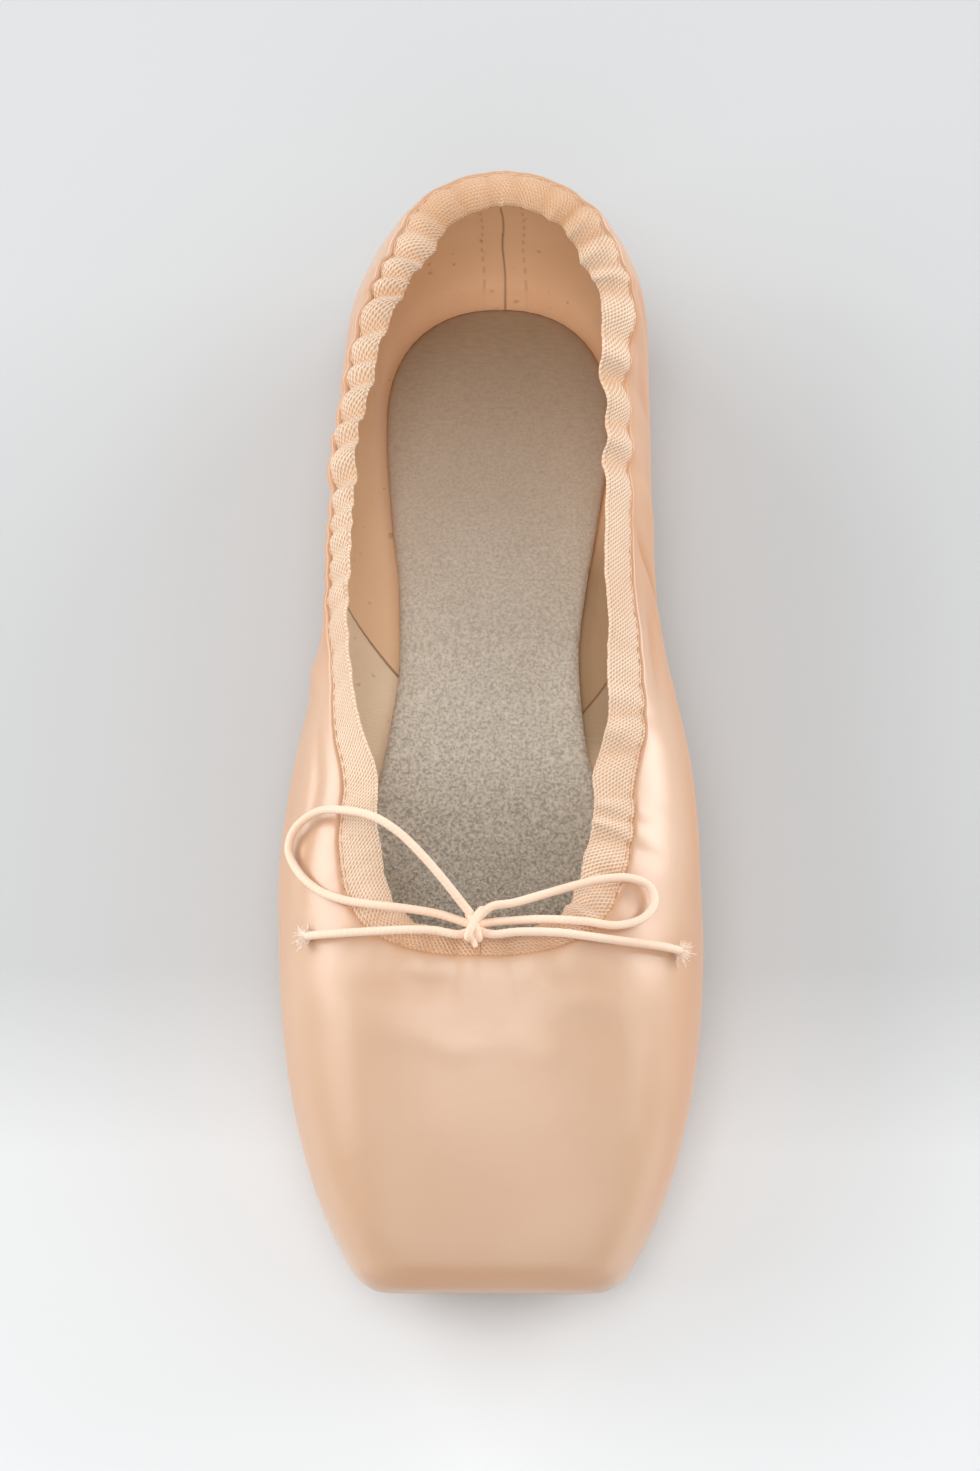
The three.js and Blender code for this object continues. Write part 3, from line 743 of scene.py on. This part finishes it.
def make_satin():
    """Outside of the upper, with its folds, gathers and pleats, rolled over at the collar."""
    shape = grid.shape[:2]
    points = grid.reshape(-1, 3)
    s = grid[..., 1] + LENGTH / 2
    climb = np.linalg.norm(np.diff(grid, axis=1), axis=-1)
    drop = np.concatenate([np.cumsum(climb[:, ::-1], axis=1)[:, ::-1], np.zeros((STATIONS, 1))], axis=1)
    folds = fold_height(points).reshape(shape)
    back_seam = np.exp(-(((grid[..., 0] - BACK_SEAM_X) / SEAM_HALF) ** 2)) * smooth(s, 218, 226)
    height = folds * (0.25 + 0.75 * smooth(drop, 0.0, EDGE_FADE))
    height = height + edge_shift[:, None] * np.exp(-drop / EDGE_FADE)
    height = height + toe_pleats(points).reshape(shape) - SEAM_DEPTH * back_seam
    body = grid + normals * height[..., None]
    edge = body[:, -1]
    out = normals[:, -1]
    up = unit_of(grid[:, -1] - grid[:, -2])
    roll = []
    for angle in np.radians(range(18, 163, 18)):
        roll.append(edge - out * RIM_ROLL + (out * math.cos(angle) + up * math.sin(angle)) * RIM_ROLL)
    rows = np.concatenate([body, np.stack(roll, 1)], axis=1)
    satin = add_mesh("satin_upper", rows, grid_faces(STATIONS, rows.shape[1], close_rows=True))
    on_roll = ((0, 0), (0, len(roll)))
    set_uv(satin, collar_along[:, None], np.pad(drop, on_roll))
    # Painted shade in the satin's colour: in fold troughs, along the edge under the tape, on the toe
    # platform and on both flanks, where it also stands for warm reflected light, wider on the toe box than
    # on the wings. The back seam line is darkened too.
    sideways = normals[..., 0]
    turn = 0.66 + 0.16 * smooth(s, 55, 85)
    seam_and_painted_shade = np.clip(-folds - 0.15, 0, 2) * SATIN_SEAM_AND_PAINTED_SHADE["trough"] + np.exp(-drop / 0.8) * SATIN_SEAM_AND_PAINTED_SHADE["rim"]
    seam_and_painted_shade = seam_and_painted_shade + SATIN_SEAM_AND_PAINTED_SHADE["platform"] * (1 - smooth(s, 1.0, 5.0)) + SATIN_SEAM_AND_PAINTED_SHADE["seam"] * back_seam
    seam_and_painted_shade = seam_and_painted_shade + SATIN_SEAM_AND_PAINTED_SHADE["right"] * smooth(sideways, turn, 0.98)
    seam_and_painted_shade = seam_and_painted_shade + SATIN_SEAM_AND_PAINTED_SHADE["left"] * smooth(-sideways, 0.8, 1.0)
    set_shade(satin, "seam_and_painted_shade", np.pad(seam_and_painted_shade, on_roll, "edge"))
    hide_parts("upper")
    return satin


# Side seams of the lining: s at a distance from the middle line, and the slope from there
LEFT_SEAM = (136.8, 21.2, 1.04)
RIGHT_SEAM = (127.6, 17.7, 1.23)
LINING_STEPS = 72
STRIP_HALF = 5.6
STRIP_LINE = 4.8


def make_lining():
    """Inside of the upper, from the collar down to the lap under the insole."""
    rows = np.unique(np.round(np.linspace(0, CLIMB, LINING_STEPS)).astype(int))
    share = rows / CLIMB
    outer = grid[:, rows]
    x, y, z = np.moveaxis(outer, -1, 0)
    s = y + LENGTH / 2
    thick = lap_wall(s) + (RIM_WALL - lap_wall(s)) * smooth(share, 0.1, 1.0)[None]
    seam_s, seam_x, slope = np.moveaxis(np.where(x[..., None] < 0, LEFT_SEAM, RIGHT_SEAM), -1, 0)
    seam = seam_s + slope * (np.abs(x) - seam_x)
    canvas = 1 - smooth(s, seam - 0.8, seam + 0.8)
    at_back = smooth(s, 222, 226)
    back_strip = smooth(STRIP_HALF - np.abs(x - BACK_SEAM_X), 0, 0.5) * at_back
    off_middle = x - BACK_SEAM_X - 0.22 * np.sin(z * 0.33)
    middle = np.exp(-((off_middle / 0.38) ** 2)) * at_back
    sag = 0.35 * np.sin(s * 0.21 + z * 0.08) * np.sin(z * 0.16) * smooth(z, 12, 22)
    inward = thick + 0.4 * canvas + 0.35 * back_strip - 0.6 * middle + sag * 0.6
    inward = inward - edge_shift[:, None] * smooth(share, 0.86, 1.0)
    points = outer - normals[:, rows] * inward[..., None]
    faces = [face[::-1] for face in grid_faces(STATIONS, len(rows), close_rows=True)]
    lining = add_mesh("lining", points, faces)
    set_uv(lining, collar_along[:, None], z)
    set_shade(lining, "past_seam", s - seam)
    set_shade(lining, "off_middle", off_middle)
    set_shade(lining, "at_back", at_back)
    # Painted shade on the right side of the waist
    set_shade(lining, "right_waist_painted_shade", smooth(x, 8, 16) * smooth(s, 112, 124) * (1 - smooth(s, 158, 176)))
    return lining


# Sizes of the tape, and the rim of satin that stays bare at its left
TAPE_HALF = 0.55
TAPE_ACROSS = 16
TAPE_FINER = 2
TAPE_EXTRA = 0.5
TAPE_IN = 1.15
TAPE_BELOW = 0.4
BARE_RIM = 0.7
RAGGED = 0.07
SLANT = 1.3


def loop_interp(values, factor):
    """Values of a closed loop at finer steps."""
    count = len(values)
    closed = np.concatenate([values, values[:1]]).reshape(count + 1, -1)
    return points_at(np.arange(count * factor) / factor, np.arange(count + 1), closed).squeeze()


def make_tape():
    """Casing tape, curled in and puckered by its drawstring, and the lines along it."""
    edge = loop_interp(grid[:, -1], TAPE_FINER)
    out = loop_interp(normals[:, -1], TAPE_FINER)
    up = unit_of(loop_interp(grid[:, -1] - grid[:, -2], TAPE_FINER))
    ahead = unit_of(np.roll(edge, -1, axis=0) - np.roll(edge, 1, axis=0))
    s = edge[:, 1] + LENGTH / 2
    at = np.arange(len(s)) / TAPE_FINER
    phase = np.interp(at, np.arange(STATIONS + 1), np.append(wave_phase, wave_phase[-1] + wave_phase[1]))
    strength = loop_interp(wave_strength, TAPE_FINER)
    along = np.interp(at, np.arange(STATIONS), collar_along)
    on_right = np.arange(len(s)) < len(s) / 2
    full_curl = np.radians(np.where(on_right, curl_right(s), curl_left(s)))
    ragged = np.random.default_rng(3).normal(0, RAGGED, len(s))
    bare_rim = np.where(on_right, 0.0, BARE_RIM) * smooth(s, 122, 150) * (1 - smooth(s, 212, 228))
    shift = loop_interp(edge_shift, TAPE_FINER) - TAPE_IN - bare_rim
    centre = edge + out * shift[:, None] - up * TAPE_BELOW
    step = (TAPE_WIDTH + TAPE_EXTRA) / TAPE_ACROSS
    face, back, lines = [], [], []
    for k in range(TAPE_ACROSS + 1):
        t = k / TAPE_ACROSS
        curl = full_curl * t**0.8
        forward = up * np.cos(curl)[:, None] - out * np.sin(curl)[:, None]
        across = out * np.cos(curl)[:, None] + up * np.sin(curl)[:, None]
        if k > 0:
            centre = centre + forward * step
        round_up = lump(phase + SLANT * t)
        soft_up = 0.5 - 0.5 * np.cos(phase + 0.9 * t)
        lift = strength * (1.5 * round_up - 1.3) * t
        slide = strength * np.cos(phase + 0.4) * t * 0.5
        stretch = strength * (1.2 * soft_up - 1.1 + 0.4 * np.sin(0.37 * phase)) * t
        stretch = stretch + ragged * (t > 0.95) - bare_rim * t
        middle = centre + across * lift[:, None] + ahead * slide[:, None] + forward * stretch[:, None]
        swell = ((0.3 + strength * 1.1 * round_up) * math.sin(math.pi * t) ** 1.2)[:, None]
        face.append(middle + across * (TAPE_HALF + swell))
        back.append(middle - across * (TAPE_HALF + swell * 0.5))
        lines.append((middle, across, swell))
    nose = [middle + forward * TAPE_HALF * 0.7 + across * rise for rise in (0.3, -0.3)]
    rows = np.stack(face + nose + back[::-1], 1)
    tape = add_mesh("casing_tape", rows, grid_faces(len(s), rows.shape[1], True, True))
    half = len(face)
    width = np.concatenate([np.arange(half) * step, [half * step] * 2, np.arange(half)[::-1] * step])
    set_uv(tape, along[:, None], width)
    share = np.clip(width / TAPE_WIDTH, 0, 1)[None]
    # Painted shade on the tape: darker in the valleys between gathers, at its base by the satin, round the
    # heel, and at the throat as the bow's shadow
    valley = (1 - lump(phase[:, None] + SLANT * share)) ** 2 * strength[:, None]
    seam_and_painted_shade = valley * TAPE_PAINTED_SHADE["valley"] + np.exp(-width)[None] * TAPE_PAINTED_SHADE["base"]
    seam_and_painted_shade = seam_and_painted_shade + smooth(s, 214, 230)[:, None] * TAPE_PAINTED_SHADE["back"]
    seam_and_painted_shade = seam_and_painted_shade + (1 - smooth(s, 61, 68))[:, None] * TAPE_PAINTED_SHADE["throat"]
    set_shade(tape, "seam_and_painted_shade", np.clip(seam_and_painted_shade, 0, 1))
    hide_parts("binding")
    return tape, lines


# Stitches, along one of the tape's lines
STITCH_LINE = 3
STITCH_PITCH = 2.9
STITCH_LONG = 1.9
STITCH_RISE = 0.12
STITCH_RADII = [0.1, 0.18, 0.2, 0.2, 0.2, 0.18, 0.1]
STITCH_SIDES = 6


def make_stitches(lines):
    """Row of stitches that holds the tape to the satin."""
    middle, across, swell = lines[STITCH_LINE]
    line = middle + across * (TAPE_HALF + swell + 0.1)
    along = lengths_along(line)
    count = len(STITCH_RADII)
    rise = (STITCH_RISE * np.sin(np.linspace(0, math.pi, count)) - 0.1)[:, None]
    parts = []
    for start in np.arange(2.0, along[-1] - 3.0, STITCH_PITCH):
        at = np.linspace(start, start + STITCH_LONG, count)
        path = points_at(at, along, line) + points_at(at, along, across) * rise
        parts.append(tube(path, STITCH_RADII, STITCH_SIDES))
    stitches = add_tubes("tape_stitches", parts)
    return stitches


satin_piece = make_satin()
lining_piece = make_lining()
tape_piece, tape_lines = make_tape()
stitch_piece = make_stitches(tape_lines)


# Flat pieces

FLAT_ROWS = 150
FLAT_COLUMNS = 60
RIM_POINTS = 400
# Width of the painted shadow line along the rim of the insole
EDGE_WIDTH = 0.9


def make_flat(name, node, piece, underside, thick, round_top, round_bottom):
    """Flat piece with rounded ends and eased edges."""
    middle = (piece["front"] + piece["back"]) / 2
    half = (piece["back"] - piece["front"]) / 2
    s = middle - half * np.cos(np.linspace(0, math.pi, FLAT_ROWS + 1))
    share = -np.cos(np.linspace(0, math.pi, FLAT_COLUMNS + 1))
    left, right = flat_widths(piece, s)
    x = share[None] * np.where(share[None] < 0, left[:, None], right[:, None])
    fine = middle - half * np.cos(np.linspace(0, math.pi, RIM_POINTS))
    rim_left, rim_right = flat_widths(piece, fine)
    rim = np.append(-rim_left, rim_right)
    inset = np.hypot(x[..., None] - rim, s[:, None, None] - np.tile(fine, 2)).min(-1)

    def eased(radius):
        short = np.clip(radius - inset, 0, radius)
        return radius - np.sqrt(radius**2 - short**2)

    s = np.broadcast_to(s[:, None], x.shape)
    top = underside(s) + thick - eased(round_top)
    bottom = underside(s) + eased(round_bottom)
    points = np.concatenate([np.stack([x, s - LENGTH / 2, z], -1).reshape(-1, 3) for z in (bottom, top)])
    rows, columns = x.shape
    count = rows * columns
    faces = grid_faces(rows, columns) + grid_faces(rows, columns, start=count)
    for i in range(rows - 1):
        for a in (i * columns, (i + 1) * columns - 1):
            faces.append([a, a + count, a + count + columns, a + columns])
    made = add_mesh(name, points, faces)
    # Nearness to the rim, which the insole's material turns into a painted shadow line where it meets the
    # lining
    set_shade(made, "edge", np.tile(np.exp(-inset / EDGE_WIDTH).ravel(), 2))
    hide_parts(node)
    merge_close(made)
    return made


def merge_close(piece):
    """Joins the points that lie on each other at the rounded ends, and turns all faces outward."""
    work = bmesh.new()
    work.from_mesh(piece.data)
    bmesh.ops.remove_doubles(work, verts=work.verts, dist=1e-6)
    bmesh.ops.recalc_face_normals(work, faces=work.faces)
    work.to_mesh(piece.data)
    work.free()


insole_piece = make_flat(
    "insole_board", "insole", INSOLE, lambda s: last["floor"](s) + lap_wall(s) + GAP,
    INSOLE_THICK, round_top=0.7, round_bottom=0.2)
outsole_piece = make_flat(
    "outsole_leather", "outsole", OUTSOLE, lambda s: last["floor"](s) - GAP - OUTSOLE_THICK,
    OUTSOLE_THICK, round_top=0.4, round_bottom=1.2)


# Materials

def linear(red, green, blue):
    """Scene colour of an sRGB colour given from 0 to 255."""
    values = np.array([red, green, blue]) / 255
    values = np.where(values <= 0.04045, values / 12.92, ((values + 0.055) / 1.055) ** 2.4)
    return (*values.tolist(), 1.0)


class Look:
    """A material with short calls to add and join its nodes. Its colours are sRGB, from 0 to 255."""

    def __init__(self, name, **sockets):
        self.material = bpy.data.materials.new(name)
        self.material.use_nodes = True
        self.tree = self.material.node_tree
        shader = next(node for node in self.tree.nodes if node.type == "BSDF_PRINCIPLED")
        self.sockets = shader.inputs
        self.set(sockets)

    def set(self, sockets):
        for socket, value in sockets.items():
            self.feed(self.sockets[socket.replace("_", " ")], value)

    def feed(self, socket, value):
        if isinstance(value, bpy.types.NodeSocket):
            self.tree.links.new(value, socket)
        else:
            socket.default_value = linear(*value) if socket.type == "RGBA" else value

    def node(self, kind, inputs, **settings):
        node = self.tree.nodes.new("ShaderNode" + kind)
        for key, value in settings.items():
            setattr(node, key, value)
        for socket, value in inputs.items():
            self.feed(node.inputs[socket], value)
        return node

    def math(self, operation, a, b=0.0):
        return self.node("Math", {0: a, 1: b}, operation=operation).outputs[0]

    def plus(self, a, b):
        return self.math("ADD", a, b)

    def times(self, a, b):
        return self.math("MULTIPLY", a, b)

    def wave(self, value, pitch):
        """Sine wave of a pitch in metres, as for threads."""
        return self.math("SINE", self.times(value, 2 * math.pi / pitch))

    def split(self, vector):
        return self.node("SeparateXYZ", {0: vector}).outputs

    def spot(self):
        """Place on the object, in metres."""
        return self.node("TexCoord", {}).outputs["Object"]

    def cloth(self):
        """The two UV numbers, in metres."""
        return self.split(self.node("UVMap", {}, uv_map="cloth").outputs[0])[:2]

    def attribute(self, name):
        return self.node("Attribute", {}, attribute_name=name).outputs["Fac"]

    def noise(self, scale, detail, rough=0.5, stretch=(1, 1, 1)):
        vector = self.node("Mapping", {"Vector": self.spot(), "Scale": stretch}).outputs[0]
        inputs = {"Vector": vector, "Scale": scale, "Detail": detail, "Roughness": rough}
        return self.node("TexNoise", inputs).outputs[0]

    def grey(self, factor, low, high, from_low=0.0, from_high=1.0):
        """Number from low to high, while the factor goes over its own range."""
        inputs = {"Value": factor, "From Min": from_low, "From Max": from_high}
        return self.node("MapRange", {**inputs, "To Min": low, "To Max": high}).outputs[0]

    def tint(self, factor, dark, pale, low=0.3, high=0.7):
        """Colour from dark to pale, while the factor goes from low to high."""
        node = self.node("ValToRGB", {0: factor})
        for element, at, color in zip(node.color_ramp.elements, (low, high), (dark, pale)):
            element.position = at
            element.color = linear(*color)
        return node.outputs[0]

    def mix(self, factor, below, above):
        return self.node("Mix", {0: factor, 6: below, 7: above}, data_type="RGBA").outputs[2]

    def bump(self, height, strength, distance, below=None):
        inputs = {"Height": height, "Strength": strength, "Distance": distance}
        if below is not None:
            inputs["Normal"] = below
        return self.node("Bump", inputs).outputs[0]

    def finish(self, *pieces, **sockets):
        self.set(sockets)
        for piece in pieces:
            piece.data.materials.clear()
            piece.data.materials.append(self.material)


def dress_satin():
    look = Look("satin", Sheen_Weight=0.1, Sheen_Tint=(255, 232, 214), Anisotropic=0.3, Coat_Roughness=0.36)
    seam_and_painted_shade = look.attribute("seam_and_painted_shade")
    color = look.tint(look.noise(26, 3), (200, 157, 122), (207, 167, 134))
    # Painted shade: a deeper orange where the attribute marks it
    color = look.mix(seam_and_painted_shade, color, (192, 128, 84))
    threads = look.wave(look.cloth()[1], 0.00042)
    height = look.plus(look.times(threads, 0.35), look.noise(900, 2))
    normal = look.bump(height, 0.1, 0.00008)
    normal = look.bump(look.noise(90, 3), 0.2, 0.0005, normal)
    look.finish(
        satin_piece, Base_Color=color,
        Normal=look.bump(look.noise(260, 2), 0.18, 0.0003, normal),
        Roughness=look.grey(look.noise(60, 4), 0.36, 0.43, 0.3, 0.7),
        # Painted shade also takes gloss and coat away where it is marked
        Specular_IOR_Level=look.grey(seam_and_painted_shade, 1, 0.3, 0, 0.6),
        Coat_Weight=look.grey(seam_and_painted_shade, 0.8, 0.05, 0, 0.45),
    )


def dress_tape():
    look = Look(
        "casing_tape", Roughness=0.85, Sheen_Weight=0.25, Sheen_Roughness=0.5, Specular_IOR_Level=0.25)
    along, across = look.cloth()
    ribs = look.wave(look.plus(along, look.times(across, 0.85)), 0.00095)
    picks = look.wave(across, 0.0007)
    weave = look.grey(look.plus(look.times(ribs, 0.6), look.times(picks, 0.4)), 0, 1, -1, 1)
    color = look.tint(look.noise(55, 3), (243, 213, 184), (253, 229, 203))
    color = look.mix(look.grey(weave, 0.85, 0, 0, 0.75), color, (192, 142, 104))
    color = look.mix(look.grey(look.noise(150, 2), 0, 0.3, 0.66, 0.76), color, (200, 146, 102))
    # Painted shade, where the attribute marks it
    color = look.mix(look.attribute("seam_and_painted_shade"), color, (218, 168, 126))
    normal = look.bump(weave, 0.85, 0.0004)
    normal = look.bump(look.noise(2600, 2), 0.25, 0.0001, normal)
    look.finish(tape_piece, Base_Color=color, Normal=normal)


def dress_lining():
    look = Look("lining", Roughness=0.8, Specular_IOR_Level=0.25)
    along, across = look.cloth()
    past_seam = look.attribute("past_seam")
    at_back = look.attribute("at_back")
    off_middle = look.math("ABSOLUTE", look.attribute("off_middle"))
    canvas = look.grey(past_seam, 1, 0, -0.3, 0.3)
    # Behind the side seams the lining is tan: partly its own colour, partly painted shade with warm
    # reflected light
    tan = look.tint(look.noise(40, 4), (240, 202, 164), (246, 212, 176))
    beige = look.tint(look.noise(70, 4), (240, 216, 187), (250, 229, 202))
    color = look.mix(canvas, tan, beige)
    color = look.mix(look.grey(look.noise(420, 1), 0, 0.35, 0.72, 0.78), color, (150, 104, 68))
    # Painted shade on the right side of the waist
    color = look.mix(look.times(look.attribute("right_waist_painted_shade"), 0.66), color, (150, 122, 88))
    side_line = look.grey(look.math("ABSOLUTE", past_seam), 0.75, 0, 0.2, 0.6)
    back_line = look.times(look.grey(off_middle, 0.6, 0, 0.08, 0.4), at_back)
    color = look.mix(look.plus(side_line, back_line), color, (132, 90, 58))
    off_strip = look.math("ABSOLUTE", look.math("SUBTRACT", off_middle, STRIP_LINE))
    dashes = look.grey(look.wave(across, 0.0032), 0, 1, -0.3, 0.3)
    strip_line = look.times(look.grey(off_strip, 0.26, 0, 0.12, 0.45), dashes)
    color = look.mix(look.times(strip_line, at_back), color, (148, 104, 68))
    weave = look.times(look.wave(along, 0.0009), look.wave(across, 0.0009))
    normal = look.bump(look.times(weave, look.grey(canvas, 0.25, 1.0)), 0.3, 0.00012)
    normal = look.bump(look.noise(180, 4), 0.3, 0.0004, normal)
    look.finish(lining_piece, Base_Color=color, Normal=normal)


def dress_insole():
    look = Look("insole_board", Roughness=0.75, Specular_IOR_Level=0.35)
    along = look.split(look.spot())[1]
    heel = look.grey(along, 0, 1, 0, 0.10)
    relief = look.grey(along, 1, 0.1, -0.05, 0.06)
    inputs = {"Vector": look.spot(), "Scale": 1250.0}
    pebble = look.node("TexVoronoi", inputs, feature="SMOOTH_F1").outputs[0]
    grain = look.noise(1600, 3, 0.6)
    grey = look.tint(grain, (224, 218, 206), (255, 251, 241), 0.3, 0.65)
    # The heel's browner, darker colour is partly the board's own and partly painted shade with warm
    # reflected light
    brown = look.tint(look.noise(700, 3, 0.6, (0.5, 2.2, 1)), (152, 129, 104), (164, 142, 116))
    color = look.mix(heel, grey, brown)
    color = look.mix(look.grey(look.noise(28, 4), 0, 0.2, 0.45, 0.7), color, (172, 158, 138))
    # Painted shadow line along the rim, where the insole meets the lining
    color = look.mix(look.times(look.attribute("edge"), 0.6), color, (150, 104, 68))
    # Painted shade in the pits of the pebble grain, on the fore part
    painted_pit_shade = look.times(look.grey(pebble, 0, 0.3, 0.3, 0.6), relief)
    color = look.mix(painted_pit_shade, color, (140, 133, 118))
    specks = look.times(look.grey(grain, 0.5, 0, 0.38, 0.54), relief)
    color = look.mix(specks, color, (134, 127, 112))
    normal = look.bump(look.plus(look.times(pebble, -1.2), grain), relief, 0.0013)
    look.finish(insole_piece, Base_Color=color, Normal=normal)


def dress_outsole():
    look = Look("sole_leather", Specular_IOR_Level=0.4)
    pores = look.noise(1400, 3)
    scuff = look.noise(90, 6, 0.7, (5, 0.6, 1))
    color = look.tint(look.noise(22, 5), (176, 132, 88), (204, 164, 118))
    color = look.mix(look.grey(pores, 0.3, 0, 0.3, 0.6), color, (140, 98, 62))
    color = look.mix(look.grey(scuff, 0, 0.35, 0.6, 0.75), color, (150, 108, 72))
    normal = look.bump(look.noise(240, 3), 0.2, 0.0005, look.bump(pores, 0.3, 0.0003))
    rough = look.grey(scuff, 0.45, 0.7, 0.3, 0.7)
    look.finish(outsole_piece, Base_Color=color, Roughness=rough, Normal=normal)


def dress_cord():
    look = Look("cord", Roughness=0.65, Sheen_Weight=0.2, Sheen_Roughness=0.5, Specular_IOR_Level=0.3)
    along, around = look.cloth()
    twist = look.plus(look.times(along, 1 / 0.0011), look.times(around, 1000 / 3.0))
    color = look.tint(look.noise(60, 3), (238, 206, 180), (246, 219, 196))
    normal = look.bump(look.wave(twist, 1), 0.2, 0.00012)
    normal = look.bump(look.noise(3000, 2), 0.15, 0.0001, normal)
    look.finish(*(piece for piece in cords if "fray" not in piece.name), Base_Color=color, Normal=normal)
    pale = Look("cord_fibre", Roughness=0.8, Specular_IOR_Level=0.2)
    tint = pale.tint(pale.noise(900, 2), (252, 222, 200), (255, 240, 226))
    pale.finish(*(piece for piece in cords if "fray" in piece.name), Base_Color=tint)


def dress_stitches():
    look = Look("thread", Roughness=0.6, Specular_IOR_Level=0.3)
    look.finish(stitch_piece, Base_Color=look.tint(look.noise(700, 2), (208, 162, 124), (232, 194, 160)))


dress_satin()
dress_tape()
dress_lining()
dress_insole()
dress_outsole()
dress_cord()
dress_stitches()
for piece in cords:
    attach(piece, "root")


# Floor and light

# Area lights: name, where they stand and aim, width and height, all in metres, and power in watts
LIGHTS = [
    ("front", (0.05, -1.15, 1.1), (0, 0.03, 0.02), (1.7, 0.9), 4.0),
    ("left", (-0.95, -0.06, 0.6), (0, 0, 0.03), (0.7, 0.6), 3.0),
    ("right", (0.9, -0.06, 0.7), (0, 0, 0.03), (0.7, 0.6), 1.4),
    ("low left", (-1.05, 0.62, 0.5), (0, 0, 0.04), (0.95, 0.7), 9.5),
    ("low right", (1.1, 0.62, 0.36), (0, 0, 0.04), (0.95, 0.7), 11.0),
    ("top", (-0.05, -0.22, 1.3), (0, -0.05, 0.02), (0.6, 0.7), 4.5),
]


def make_floor():
    bpy.ops.mesh.primitive_plane_add(size=8.0)
    floor = bpy.context.object
    floor.name = "floor"
    look = Look("floor", Roughness=0.9, Specular_IOR_Level=0.1)
    behind_toe = look.grey(look.split(look.spot())[1], 0, 1, -0.085, -0.045)
    color = look.mix(behind_toe, (225.3, 227.0, 228.0), (201.1, 203.0, 204.2))
    look.finish(floor, Base_Color=color)


def make_light():
    world = bpy.data.worlds.new("studio")
    bpy.context.scene.world = world
    world.use_nodes = True
    background = next(node for node in world.node_tree.nodes if node.type == "BACKGROUND")
    background.inputs["Color"].default_value = (1, 1, 1, 1)
    background.inputs["Strength"].default_value = 0.44
    for name, stand, aim, size, power in LIGHTS:
        data = bpy.data.lights.new(name, "AREA")
        data.shape = "RECTANGLE"
        data.size, data.size_y = size
        data.energy = power
        light = bpy.data.objects.new(name, data)
        bpy.context.collection.objects.link(light)
        light.location = stand
        light.rotation_euler = (Vector(aim) - Vector(stand)).to_track_quat("-Z", "Y").to_euler()
    bpy.context.scene.view_settings.view_transform = "Standard"


make_floor()
make_light()
